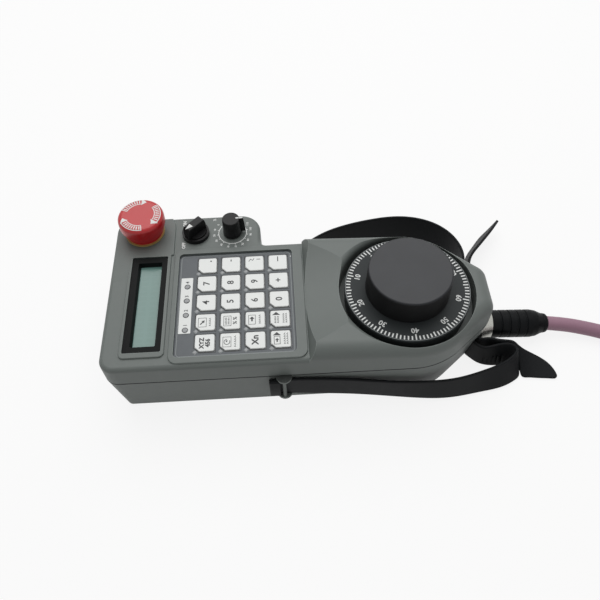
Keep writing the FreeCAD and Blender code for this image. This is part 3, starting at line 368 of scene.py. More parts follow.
# %% Finishes on the solids
FINISHES = {
    case_plastic: ["front_case"],
    rear_plastic: ["rear_case", "strap_pins"],
    seal_rubber: ["case_gasket"],
    steel: ["case_screws", "lcd_frame", "estop_stem", "handwheel_shaft", "wheel_bearings", "encoder_disc"],
    nickel: ["panel_nuts", "cable_receptacle"],
    board_green: ["main_board", "lcd_board", "key_board"],
    bezel_plastic: ["display_bezel"],
    lcd_pane: ["lcd_glass"],
    film_plastic: ["key_overlay"],
    strip_plastic: ["status_strip"],
    lamp_plastic: ["panel_lamps"],
    estop_plastic: ["estop_head", "estop_barrel"],
    collar_plastic: ["estop_collar"],
    knob_plastic: ["selector_knob", "selector_bezel", "override_knob"],
    black_plastic: ["estop_contacts", "selector_block", "override_switch", "encoder_housing",
                    "cable_connector", "cable_ties", "cable_plug"],
    dial_plastic: ["handwheel_dial"],
    cap_gloss: ["handwheel_cap"],
}
FINISHES[key_plastic] = [name for name in nodes if name.startswith("key_r")]


def dress(solid, material):
    if not solid.material_slots:
        solid.data.materials.append(material)
    for place in solid.material_slots:
        place.material = material


for material, names in FINISHES.items():
    for name in names:
        dress(nodes[name], material)
undressed = set(nodes) - {name for names in FINISHES.values() for name in names}
print("left for new pieces:", sorted(undressed))

# %% [markdown]
# ## The rubber straps
# A hand slips under each strap. It is a flat rubber band with soft edges. It runs from a lug on the case to
# a pocket in the nose, round a bar there, and out again as a free tongue. A curve with a bevel could carry
# it, but the band also twists and narrows. So it goes through stations, each a pair of points on its lower
# and its upper edge. A smooth spline runs through each row of points, and rounded sections are strung
# between them.

# %% Strap stations
STRAP_WIDE = 19.0
STRAP_THICK = 1.9
LUG_FOOT = 19.0
LUG_WIDE = 17.9
POCKET_LEAN = 50.0      # degrees
POCKET_FOOT = 1.6
POCKET_WAY = ((45.5, 24.2), (42.0, 24.2), (40.12, 24.97), (39.35, 26.85), (40.12, 28.73), (42.0, 29.5),
              (45.5, 29.5))


def upright(x, y, foot, wide=STRAP_WIDE):
    return (x, y, foot), (x, y, foot + wide)


def round_pocket_bar(side):
    """The band's way into the nose, round the bar and out. side is -1 for the near strap, 1 for the far."""
    lean = math.radians(POCKET_LEAN)
    stations = []
    for out, along in POCKET_WAY:
        x = math.cos(lean) * out + math.sin(lean) * along
        y = math.sin(lean) * out - math.cos(lean) * along
        stations.append(upright(x, side * y, POCKET_FOOT))
    return stations


NEAR_STRAP = [
    upright(-88, -47.7, LUG_FOOT, LUG_WIDE), upright(-80, -47.7, LUG_FOOT, LUG_WIDE),
    upright(-72, -47.7, 18.4, 18.2), upright(-56, -47.7, 16), upright(-36, -47.7, 12.6),
    ((-9, -48.9, 8), (-10.5, -48.3, 27)), ((18.5, -50, 4), (17, -47.2, 22.7)),
    ((35, -48.4, 2), (33, -44.6, 20.4)), ((49.6, -45.8, 1), (47.4, -40.2, 18.6)),
    ((64, -43.2, 0.9), (62, -34.6, 17.4)), ((73.4, -39.2, 0.9), (71.2, -29, 16.6)),
    ((78, -34.2, 0.9), (75.8, -23.6, 16.9)), ((74.6, -27.6, 0.9), (73.4, -20.2, 18)),
    ((68, -26.2, 0.9), (67, -19.4, 18.2)), ((60, -26, 1), (59.6, -21.4, 19.2)),
    ((52.6, -23.6, 1.3), (52.8, -22.4, 20.1)), *round_pocket_bar(-1),
    ((58.2, -18.9, 1.4), (57.6, -15.6, 20)), ((65.4, -21.6, 1.2), (65, -16.9, 19.4)),
    ((72.4, -24, 1.1), (72.2, -17.2, 18)), ((77.2, -26.4, 1.1), (75.6, -17.2, 16.2)),
    ((79.5, -31, 1.1), (78.6, -17.5, 13.2)), ((80.4, -36.4, 1.1), (81.6, -17.9, 9.6)),
    ((84.5, -37.6, 1.2), (85.6, -18.5, 6)), ((90, -38.2, 1.2), (91.6, -21, 3.6)),
    ((97, -38.9, 1.2), (99, -26.4, 2.2)), ((100.6, -39.3, 1.2), (102.4, -31.4, 1.6)),
    ((102.5, -39.2, 1.2), (103.6, -34.8, 1.4)), ((103.4, -38.6, 1.2), (103.9, -36.9, 1.3)),
]
FAR_STRAP = [
    upright(-88, 47.7, LUG_FOOT, LUG_WIDE), upright(-81.5, 47.6, LUG_FOOT, LUG_WIDE),
    upright(-76.4, 48.8, 18.7, 18.2), upright(-70, 53.4, 18, 18.7), ((-54, 66.8, 15.3), (-54, 68, 34.9)),
    ((-34, 77, 12.3), (-34, 79.4, 32.6)), ((-10, 84.4, 9.1), (-10, 87.4, 29.8)),
    ((14, 87.2, 6.5), (14, 90.8, 27.3)), ((34.2, 83.2, 4.3), (35.4, 86.4, 24.6)),
    ((47.4, 75, 2.9), (48.6, 76, 22.4)), ((53.6, 64.4, 2), (54.1, 64, 21.3)), upright(54.4, 53, 1.6),
    upright(51.6, 38, 1.2), upright(50.6, 26, 1), *round_pocket_bar(1), upright(56, 26, 0.8),
    ((58, 45, 0.9), (57, 41, 18.6)), ((62.2, 65.6, 1.2), (60.8, 56, 17.4)),
    ((69.6, 76.6, 1.6), (67.6, 64.8, 17.8)), ((76.6, 84.8, 2.9), (74.6, 72.8, 17.2)),
    ((84, 91, 5), (82, 82, 15.2)), ((90.4, 96, 7.8), (89.6, 92.6, 12)), ((92.5, 97.6, 9), (92.4, 96.8, 10.4)),
]
print("strap stations", len(NEAR_STRAP), len(FAR_STRAP))

# %% [markdown]
# The spline is the natural cubic one: it bends as little as it can between its points. Each section of the
# band is a flat oval of 24 points. The flats get a point close to each rounded edge, so that smooth shading
# stays flat there. The band ends in a thicker block behind its lug, which keeps it from slipping through.

# %% Strap bands
SECTIONS = 240
EDGE_R = 0.75
BLOCK = (7.2, 3.6, LUG_WIDE)
BLOCK_X = -86.9
BLOCK_Y = 48.55
BLOCK_EDGE = 0.8


def spline(points, knots, places):
    points = np.array(points, float)
    gaps = np.diff(knots)
    slopes = np.diff(points, axis=0) / gaps[:, None]
    system = np.eye(len(knots))
    pull = np.zeros_like(points)
    for i in range(1, len(knots) - 1):
        system[i, i - 1:i + 2] = gaps[i - 1], 2 * (gaps[i - 1] + gaps[i]), gaps[i]
        pull[i] = 6 * (slopes[i] - slopes[i - 1])
    bend = np.linalg.solve(system, pull)
    span = np.clip(np.searchsorted(knots, places, "right") - 1, 0, len(knots) - 2)
    gap = gaps[span][:, None]
    before = (places - knots[span])[:, None]
    after = gap - before
    straight = points[span] * after / gap + points[span + 1] * before / gap
    return straight + (bend[span] * (after ** 3 / gap - after * gap)
                       + bend[span + 1] * (before ** 3 / gap - before * gap)) / 6


def oval(wide, thick):
    """Section of the band: pairs of places across its width and through its thickness."""
    radius = min(EDGE_R, wide * 0.4)
    places = []
    for turn in (0, 90, 180, 270):
        through = 1 if turn in (0, 90) else -1
        across = 1 if turn in (0, 270) else -1
        middle = Vector((across * (wide / 2 - radius), through * (thick / 2 - radius)))
        angles = [math.radians(turn + step) for step in (0, 22.5, 45, 67.5, 90)]
        corner = [middle + Vector((math.cos(angle), math.sin(angle))) * radius for angle in angles]
        flat = middle + Vector((-across * min(0.6, wide * 0.08), through * radius))
        places += corner + [flat] if turn in (0, 180) else [flat] + corner
    return places


def strap_piece(name, stations, side):
    feet = np.array([foot for foot, head in stations])
    heads = np.array([head for foot, head in stations])
    chords = np.linalg.norm(np.diff((feet + heads) / 2, axis=0), axis=1)
    knots = np.concatenate(([0.0], np.cumsum(np.sqrt(chords))))
    places = np.linspace(0, knots[-1], SECTIONS)
    lower = [Vector(point) for point in spline(feet, knots, places)]
    upper = [Vector(point) for point in spline(heads, knots, places)]
    band = bmesh.new()
    rings = []
    for i in range(SECTIONS):
        ahead, behind = min(i + 1, SECTIONS - 1), max(i - 1, 0)
        travel = lower[ahead] + upper[ahead] - lower[behind] - upper[behind]
        rise = upper[i] - lower[i]
        through = travel.cross(rise).normalized()
        across = rise.normalized()
        middle = (lower[i] + upper[i]) / 2
        section = oval(rise.length, STRAP_THICK)
        rings.append([band.verts.new(middle + across * a + through * t) for a, t in section])
    for first, second in zip(rings, rings[1:]):
        for i in range(len(first)):
            band.faces.new((first[i - 1], first[i], second[i], second[i - 1]))
    band.faces.new(rings[0])
    band.faces.new(rings[-1][::-1])
    block = bmesh.ops.create_cube(band, size=1.0)["verts"]
    bmesh.ops.scale(band, vec=BLOCK, verts=block)
    bmesh.ops.translate(band, vec=(BLOCK_X, side * BLOCK_Y, LUG_FOOT + LUG_WIDE / 2), verts=block)
    edges = list({edge for vertex in block for edge in vertex.link_edges})
    bmesh.ops.bevel(band, geom=edges, offset=BLOCK_EDGE, segments=3, profile=0.5, affect="EDGES")
    return finished(band, name, strap_rubber, "panel")


def finished(shape, name, material, body):
    """Turns a shape in millimetres into a piece that rides on a body."""
    bmesh.ops.recalc_face_normals(shape, faces=shape.faces[:])
    bmesh.ops.scale(shape, vec=(MM, MM, MM), verts=shape.verts[:])
    mesh = bpy.data.meshes.new(name)
    for face in shape.faces:
        face.smooth = len(face.verts) == 4
    shape.to_mesh(mesh)
    shape.free()
    mesh.materials.append(material)
    piece = shown(name, mesh)
    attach(piece, body)
    return piece


near_band = strap_piece("strap_near_band", NEAR_STRAP, -1)
far_band = strap_piece("strap_far_band", FAR_STRAP, 1)
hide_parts("strap_near")
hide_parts("strap_far")
print("strap faces", len(near_band.data.polygons), len(far_band.data.polygons))

# %% [markdown]
# ## Repeats grown by nodes
# Scale lines and grip ribs repeat by a rule, and a spring follows a path, so small node trees grow them. A
# tree makes its shape, turns it into real faces and gives it a material. Its sizes are named inputs. The
# grown mesh is then kept as a plain one, because an exported model can't carry a live tree.

# %% Growing a tree
SOCKETS = {"int": "NodeSocketInt", "float": "NodeSocketFloat", "vector": "NodeSocketVector",
           "material": "NodeSocketMaterial"}


def new_tree(name, inputs):
    tree = bpy.data.node_groups.new(name, "GeometryNodeTree")
    for label, kind in inputs.items():
        tree.interface.new_socket(label, in_out="INPUT", socket_type=SOCKETS[kind])
    tree.interface.new_socket("Geometry", in_out="OUTPUT", socket_type="NodeSocketGeometry")
    entry = tree.nodes.new("NodeGroupInput")
    return tree, {label: Flow(tree, entry.outputs[label]) for label in inputs}


def close_tree(shape, material):
    """Ends a tree: its shape is made real and gets its material."""
    real = shape.node("GeometryNodeRealizeInstances", None, {"Geometry": shape})
    inked = shape.node("GeometryNodeSetMaterial", None, {"Geometry": real, "Material": material})
    shape.node("NodeGroupOutput", None, {"Geometry": inked})


def blocks_on(points, turn, size, material):
    """Ends a tree with a block of the given size and turn on each point."""
    block = points.node("GeometryNodeMeshCube", None, {"Size": (1, 1, 1)})
    turned = points.node("FunctionNodeEulerToRotation", None, {"Euler": turn})
    placed = points.node("GeometryNodeInstanceOnPoints", None,
                         {"Points": points, "Instance": block, "Rotation": turned, "Scale": size})
    close_tree(placed, material)


def grown(name, tree, body, values):
    piece = shown(name, bpy.data.meshes.new(name))
    growth = piece.modifiers.new("growth", "NODES")
    growth.node_group = tree
    for socket in tree.interface.items_tree:
        if socket.in_out == "INPUT":
            growth[socket.identifier] = values[socket.name]
    graph = bpy.context.evaluated_depsgraph_get()
    mesh = bpy.data.meshes.new_from_object(piece.evaluated_get(graph))
    piece.modifiers.clear()
    piece.data = mesh
    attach(piece, body)
    print(name, "faces", len(mesh.polygons))
    return piece


print("kinds of tree inputs", sorted(SOCKETS))

# %% [markdown]
# The inner run of the near strap has a few short cross ribs near its lower edge, where a buckle would grip.
# They stand in a straight row, so a line of points carries them.

# %% Grip ribs

def rib_row():
    tree, given = new_tree("rib_row", {"Count": "int", "From": "vector", "To": "vector", "Size": "vector",
                                       "Lean": "float", "Material": "material"})
    flow = Flow(tree)
    line = flow.node("GeometryNodeMeshLine", {"mode": "END_POINTS"},
                     {"Count": given["Count"], "Start Location": given["From"], "Offset": given["To"]})
    turn = flow.node("ShaderNodeCombineXYZ", None, {"X": given["Lean"]})
    blocks_on(line, turn, given["Size"], given["Material"])
    return tree


grown("strap_grip_ribs", rib_row(), "panel",
      {"Count": 5, "From": Vector((55.0, -25.0, 6.6)) * MM, "To": Vector((67.4, -25.5, 6.6)) * MM,
       "Size": Vector((1.0, 1.3, 6.4)) * MM, "Lean": math.radians(-14), "Material": strap_rubber})

# %% [markdown]
# The rear shell's walls lean in towards the foot, and two of its screws stand so close to a wall that their
# holes reach it. A round pillar closes the wall there. It is a tube about the screw that narrows at its top:
# rings of points go up its outside and down its bore, and faces join each ring to the next.

# %% Screw pillars
PILLARS = [(-154.0, 66.0), (-98.5, 63.0)]
PILLAR_RINGS = [(4.7, 0.1), (4.7, 16.0), (4.5, 20.0), (4.1, 24.0), (3.7, 28.0), (3.65, 28.0), (3.65, 0.1)]
PILLAR_SIDES = 40


def screw_pillars():
    shape = bmesh.new()
    for x, y in PILLARS:
        rings = []
        for radius, z in PILLAR_RINGS:
            angles = [2 * math.pi * i / PILLAR_SIDES for i in range(PILLAR_SIDES)]
            rings.append([shape.verts.new((x + radius * math.cos(angle), y + radius * math.sin(angle), z))
                          for angle in angles])
        for k in range(len(rings)):
            for i in range(PILLAR_SIDES):
                shape.faces.new((rings[k - 1][i - 1], rings[k - 1][i], rings[k][i], rings[k][i - 1]))
    return finished(shape, "screw_pillars", rear_plastic, "panel")


print("pillar faces", len(screw_pillars().data.polygons))

# %% [markdown]
# ## The scales
# The dial has a hundred lines, longer at every fifth and tenth, and the override switch has twelve. One tree
# grows both: it turns each point's number into an angle and a length.

# %% Scale lines
DIAL_TOP = 61.0
PLATEAU = 56.0
FORTY = -90.3           # where the dial's 40 stands, in degrees
OVERRIDE = (-112.0, 57.8)
OVERRIDE_FIRST = 141.0
OVERRIDE_STEP = 23.2
OVERRIDE_COUNT = 12


def scale_lines():
    tree, given = new_tree("scale_lines", {
        "Count": "int", "Middle": "vector", "First Angle": "float", "Step Angle": "float",
        "Outer Radius": "float", "Short": "float", "Fifth": "float", "Tenth": "float", "Width": "float",
        "Thick": "float", "Material": "material"})
    flow = Flow(tree)
    number = flow.node("GeometryNodeInputIndex")
    angle = given["First Angle"] + number * given["Step Angle"]
    fifth = flow.math("MODULO", number, 5.0) < 0.5
    tenth = flow.math("MODULO", number, 10.0) < 0.5
    length = given["Short"] + fifth * (given["Fifth"] - given["Short"])
    length = length + tenth * (given["Tenth"] - given["Fifth"])
    radius = given["Outer Radius"] - length * 0.5
    spoke = flow.node("ShaderNodeCombineXYZ", None, {"X": flow.math("COSINE", angle) * radius,
                                                     "Y": flow.math("SINE", angle) * radius})
    place = flow.node("ShaderNodeVectorMath", {"operation": "ADD"}, {0: given["Middle"], 1: spoke})
    line = flow.node("GeometryNodeMeshLine", None, {"Count": given["Count"]})
    ring = flow.node("GeometryNodeSetPosition", None, {"Geometry": line, "Position": place})
    size = flow.node("ShaderNodeCombineXYZ", None, {"X": length, "Y": given["Width"], "Z": given["Thick"]})
    blocks_on(ring, flow.node("ShaderNodeCombineXYZ", None, {"Z": angle}), size, given["Material"])
    return tree


lines = scale_lines()
grown("dial_lines", lines, "handwheel",
      {"Count": 100, "Middle": Vector((0, 0, DIAL_TOP)) * MM, "First Angle": math.radians(FORTY),
       "Step Angle": math.radians(3.6), "Outer Radius": 38.9 * MM, "Short": 2.7 * MM, "Fifth": 3.3 * MM,
       "Tenth": 3.9 * MM, "Width": 0.85 * MM, "Thick": 0.1 * MM, "Material": white_ink})
grown("override_lines", lines, "panel",
      {"Count": OVERRIDE_COUNT, "Middle": Vector((*OVERRIDE, PLATEAU)) * MM,
       "First Angle": math.radians(OVERRIDE_FIRST), "Step Angle": math.radians(OVERRIDE_STEP),
       "Outer Radius": 10.7 * MM, "Short": 1.2 * MM, "Fifth": 1.2 * MM, "Tenth": 1.2 * MM, "Width": 0.45 * MM,
       "Thick": 0.1 * MM, "Material": white_ink})

# %% [markdown]
# ## Printed signs
# The signs on the keys, the head and the dial are screen printed: a thin film of ink on the plastic. Each
# print is a flat shape, raised by a few hundredths of a millimetre so that it stays a closed body. The class
# below holds a sheet of such shapes. Letters come from a text object, which is turned into a mesh first.

# %% Ink
INK_BELOW = 0.02
INK_THICK = 0.06


class Ink:
    """Printed shapes of one colour, in millimetres, on faces that look up."""

    def __init__(self):
        self.sheet = bmesh.new()
        self.at(0, 0, 0)

    def at(self, x, y, z, turn=0.0):
        """Moves the pen's own frame, so that shapes can be drawn about (0, 0)."""
        self.place = Matrix.Translation((x, y, z - INK_BELOW)) @ Matrix.Rotation(math.radians(turn), 4, "Z")
        return self

    def dots(self, points):
        return [self.sheet.verts.new(self.place @ Vector((x, y, 0))) for x, y in points]

    def area(self, *points):
        self.sheet.faces.new(self.dots(points))
        return self

    def stroke(self, points, width, closed=False):
        """A line of even width, mitred at its corners."""
        spots = [Vector(point) for point in points]
        left, right = [], []
        for i, spot in enumerate(spots):
            before = spots[i - 1] if closed or i else spot
            after = spots[(i + 1) % len(spots)] if closed or i + 1 < len(spots) else spot
            entry, leave = (spot - before).normalized(), (after - spot).normalized()
            along = (entry + leave).normalized()
            reach = width / 2 / max(0.4, along.dot(leave if leave.length else entry))
            side = Vector((-along.y, along.x)) * reach
            left.append(spot + side)
            right.append(spot - side)
        left, right = self.dots(left), self.dots(right)
        for i in range(-1 if closed else 0, len(spots) - 1):
            self.sheet.faces.new((right[i], right[i + 1], left[i + 1], left[i]))
        return self

    def box(self, x, y, wide, high, width):
        corners = [(x - wide / 2, y - high / 2), (x + wide / 2, y - high / 2), (x + wide / 2, y + high / 2),
                   (x - wide / 2, y + high / 2)]
        return self.stroke(corners, width, closed=True)

    def words(self, text, size, x=0.0, y=0.0, bold=0.02):
        curve = bpy.data.curves.new("letters", "FONT")
        curve.body = text
        curve.size = size
        curve.offset = size * bold
        curve.align_x = curve.align_y = "CENTER"
        curve.resolution_u = 2
        holder = bpy.data.objects.new("letters", curve)
        mesh = bpy.data.meshes.new_from_object(holder)
        mesh.transform(self.place @ Matrix.Translation((x, y, 0)))
        self.sheet.from_mesh(mesh)
        bpy.data.objects.remove(holder)
        bpy.data.curves.remove(curve)
        bpy.data.meshes.remove(mesh)
        return self

    def press(self, name, material, body, drop=None):
        """Gives the shapes their thickness. drop tells how far a face falls away at a point."""
        for vertex in self.sheet.verts:
            vertex.co.z -= drop(vertex.co) if drop else 0
        bmesh.ops.remove_doubles(self.sheet, verts=self.sheet.verts[:], dist=0.001)
        raised = bmesh.ops.extrude_face_region(self.sheet, geom=self.sheet.faces[:])["geom"]
        tops = [part for part in raised if isinstance(part, bmesh.types.BMVert)]
        bmesh.ops.translate(self.sheet, vec=(0, 0, INK_THICK), verts=tops)
        piece = finished(self.sheet, name, material, body)
        for face in piece.data.polygons:
            face.use_smooth = False
        return piece


def arc(radius, start, end, steps, x=0.0, y=0.0):
    """Points of an arc, from one angle to another in degrees."""
    angles = [math.radians(start + (end - start) * i / steps) for i in range(steps + 1)]
    return [(x + radius * math.cos(angle), y + radius * math.sin(angle)) for angle in angles]


print("ink thickness", INK_THICK, "mm")

# %% [markdown]
# The dial's numbers stand inside its lines with their tops outwards, and a pale line at its edge is a painted
# highlight on its chamfer. The override switch has an arc and small numbers. The selector's two places are ON
# and OFF.

# %% Numbers on the dial and head
NUMBER_RING = 32.2
NUMBER_SIZE = 4.9
EDGE_HIGHLIGHT_RING = 39.4
OVERRIDE_ARC = 9.6
OVERRIDE_FIGURES = 12.7
FIGURE_SIZE = 2.1
HEAD_WORDS = (("%", -124.6, 70.6, 2.8, 0.02), ("ON", -145.3, 68.2, 3.1, 0.04),
              ("OFF", -145.2, 48.4, 3.1, 0.04))
dial_print = Ink()
for tens in range(10):
    bearing = FORTY + 36 * (tens - 4)
    angle = math.radians(bearing)
    dial_print.at(NUMBER_RING * math.cos(angle), NUMBER_RING * math.sin(angle), DIAL_TOP, bearing - 90)
    dial_print.words(str(10 * tens), NUMBER_SIZE)
dial_print.press("dial_numbers", white_ink, "handwheel")
# Painted highlight: a pale line where light catches the dial's chamfered edge.
dial_edge_highlight = Ink().at(0, 0, DIAL_TOP).stroke(arc(EDGE_HIGHLIGHT_RING, 0, 357, 119), 0.28, closed=True)
dial_edge_highlight.press("dial_painted_edge_highlight", grey_ink_and_highlight, "handwheel")

head_print = Ink().at(*OVERRIDE, PLATEAU)
last_line = OVERRIDE_FIRST + OVERRIDE_STEP * (OVERRIDE_COUNT - 1)
head_print.stroke(arc(OVERRIDE_ARC, OVERRIDE_FIRST, last_line, 60), 0.5)
for i, spot in enumerate(arc(OVERRIDE_FIGURES, OVERRIDE_FIRST, last_line, OVERRIDE_COUNT - 1, *OVERRIDE)):
    head_print.at(*spot, PLATEAU, 90).words(str(10 * i), FIGURE_SIZE)
for word, x, y, size, bold in HEAD_WORDS:
    head_print.at(x, y, PLATEAU, 90).words(word, size, bold=bold)
head_print.press("head_signs", white_ink, "panel")
print("numbers on the dial 10, on the head", OVERRIDE_COUNT, "and words", len(HEAD_WORDS))

# %% [markdown]
# The two knobs carry a white pointer each: a wedge on the selector's bar, and a line on the override knob.
# That line runs over the knob's top and on along a fin that stands out from its side.

# %% Pointers
SELECTOR = (-137.2, 58.2)
SELECTOR_TOP = 67.4
KNOB_TOP = 70.5
selector_print = Ink().at(*SELECTOR, SELECTOR_TOP, 225)
selector_print.area((7.7, 0), (2.4, 1.7), (2.4, -1.7)).press("selector_wedge", white_ink, "selector")
FIN_TURN = 5.0
FIN_TOP = 70.3
FIN_HALF = 0.8


def override_fin():
    """The knob's pointer: a thin fin that stands out from its side and leans out towards the foot."""
    fin = bmesh.new()
    profile = ((5.0, 57.5), (9.2, 57.5), (8.8, 66.0), (8.4, FIN_TOP), (5.0, FIN_TOP))
    sides = [[fin.verts.new((r, half, z)) for r, z in profile] for half in (-FIN_HALF, FIN_HALF)]
    fin.faces.new(sides[0])
    fin.faces.new(sides[1][::-1])
    for i in range(len(profile)):
        fin.faces.new((sides[0][i], sides[0][i - 1], sides[1][i - 1], sides[1][i]))
    bmesh.ops.bevel(fin, geom=fin.edges[:], offset=0.25, segments=2, profile=0.5, affect="EDGES")
    turn = Matrix.Translation((*OVERRIDE, 0)) @ Matrix.Rotation(math.radians(FIN_TURN), 4, "Z")
    bmesh.ops.transform(fin, matrix=turn, verts=fin.verts[:])
    return finished(fin, "override_fin", knob_plastic, "override")


override_fin()
knob_print = Ink().at(*OVERRIDE, KNOB_TOP, FIN_TURN)
knob_print.area((3.4, -0.55), (5.5, -0.55), (5.5, 0.55), (3.4, 0.55))
knob_print.at(*OVERRIDE, FIN_TOP, FIN_TURN).area((5.75, -0.5), (8.1, -0.5), (8.1, 0.5), (5.75, 0.5))
knob_print.press("override_line", white_ink, "override")
print("pointers at", SELECTOR, OVERRIDE)

# %% [markdown]
# The emergency stop is released by a clockwise twist. Three wide arrows round its top say so, with a row of
# short strokes inside each. The head rounds off at its edge, so the print drops with it, and its longer
# shapes are cut into strips that can follow the rounding.

# %% Arrows on the emergency stop
ESTOP = (-172.2, 61.5)
ESTOP_TOP = 74.7
ESTOP_ROUND = 3.4
ESTOP_FLAT_R = 12.1


def estop_drop(point):
    beyond = math.hypot(point.x - ESTOP[0], point.y - ESTOP[1]) - ESTOP_FLAT_R
    return ESTOP_ROUND - math.sqrt(ESTOP_ROUND ** 2 - beyond ** 2) if beyond > 0 else 0.0


def spoke(bearing, inner, outer):
    """Points of a stroke that follows the rounding outwards."""
    rings = [inner + (outer - inner) * i / 6 for i in range(7)]
    return [arc(ring, bearing, bearing, 1)[0] for ring in rings]


ARROWS = (118, -2, -122)
ARROW_RINGS = (9.7, 13.6)
ARROW_TAIL = 40         # degrees from its middle
TAIL_RINGS = (9.45, 13.85)
ARROW_LINE = 0.55
STROKES = range(-22, 37, 8)
STROKE_RINGS = (10.4, 13.0)
STROKE_WIDE = 0.75
HEAD_BASE = -29
HEAD_LONG = 17          # degrees from its base to its tip
HEAD_RING = 11.6
HEAD_HALF = 2.9
HEAD_STRIPS = 12


def arrow_head(ink):
    """The solid head, in strips between rings, so that it follows the rounding."""
    for i in range(HEAD_STRIPS):
        rings = [HEAD_RING - HEAD_HALF + 2 * HEAD_HALF * step / HEAD_STRIPS for step in (i, i + 1)]
        tips = [HEAD_BASE - max(0.2, HEAD_LONG * (1 - abs(ring - HEAD_RING) / HEAD_HALF)) for ring in rings]
        corners = ((rings[0], HEAD_BASE), (rings[0], tips[0]), (rings[1], tips[1]), (rings[1], HEAD_BASE))
        ink.area(*[arc(ring, bearing, bearing, 1)[0] for ring, bearing in corners])


estop_print = Ink()
for middle in ARROWS:
    estop_print.at(*ESTOP, ESTOP_TOP, middle)
    for ring in ARROW_RINGS:
        estop_print.stroke(arc(ring, HEAD_BASE - 1, ARROW_TAIL, 20), ARROW_LINE)
    estop_print.stroke(spoke(ARROW_TAIL, *TAIL_RINGS), ARROW_LINE)
    for bearing in STROKES:
        estop_print.stroke(spoke(bearing, *STROKE_RINGS), STROKE_WIDE)
    arrow_head(estop_print)
estop_print.press("estop_arrows", white_ink, "estop_button", estop_drop)
print("arrow head strips", HEAD_STRIPS)

# %% [markdown]
# A spring under the head brings it back up. Its foot stands still while its top goes down, so the press
# squashes it and it can ride on neither body alone. Here a spiral curve with a round wire along it makes the
# spring at rest, attached to the panel, with a mesh of its own.

# %% Return spring
SPRING_FOOT = 65.05
SPRING_HEAD = 69.4
SPRING_R = 8.0
WIRE_R = 0.45


def wound_wire():
    tree, given = new_tree("wound_wire", {"Turns": "float", "Radius": "float", "Height": "float",
                                          "Wire": "float", "Foot": "vector", "Material": "material"})
    flow = Flow(tree)
    spiral = flow.node("GeometryNodeCurveSpiral", None, {
        "Resolution": 20, "Rotations": given["Turns"], "Start Radius": given["Radius"],
        "End Radius": given["Radius"], "Height": given["Height"]})
    wire = flow.node("GeometryNodeCurvePrimitiveCircle", None, {"Resolution": 8, "Radius": given["Wire"]})
    wound = flow.node("GeometryNodeCurveToMesh", None,
                      {"Curve": spiral, "Profile Curve": wire, "Fill Caps": True})
    placed = flow.node("GeometryNodeTransform", None, {"Geometry": wound, "Translation": given["Foot"]})
    close_tree(placed, given["Material"])
    return tree


spring = grown("estop_return_spring", wound_wire(), "panel",
               {"Turns": 3.0, "Radius": SPRING_R * MM,
                "Height": (SPRING_HEAD - SPRING_FOOT - 2 * WIRE_R) * MM, "Wire": WIRE_R * MM,
                "Foot": Vector((*ESTOP, SPRING_FOOT + WIRE_R)) * MM, "Material": steel})
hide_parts("estop_spring")
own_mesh(spring)

# %% [markdown]
# ## The keys' signs
# Each key moves by itself, so its sign is a piece of its own that rides on it. The signs read along the
# panel's width. The table gives each key its drawing steps: a word, a box, an arrow or a line.

# %% Key signs
KEY_TOP = 56.2
KEY_COLUMNS = (-128.4, -112.83, -97.26, -81.7)
KEY_ROWS = (30.0, 15.0, 0.0, -15.0, -30.0)
KEY_FIGURE = 6.0
LETTERS = 5
LINE_PITCH = 1.7


def arrow(ink, x, y, size):
    """A solid arrow that points along the line of reading."""
    ink.area((x + size, y), (x + size * 0.1, y + size * 0.8), (x + size * 0.1, y - size * 0.8))
    ink.stroke([(x - size * 0.8, y), (x + size * 0.1, y)], size * 0.5)


def lines_of(ink, x, y, wide, rows):
    """Rows of short strokes, as fine as small print."""
    pitch = wide / LETTERS
    for row in range(rows):
        for i in range(LETTERS):
            left, low = x - wide / 2 + pitch * i, y - row * LINE_PITCH
            ink.stroke([(left + 0.2, low - 0.5), (left + 0.5, low + 0.5),
                        (left + pitch - 0.3, low - 0.4)], 0.3)


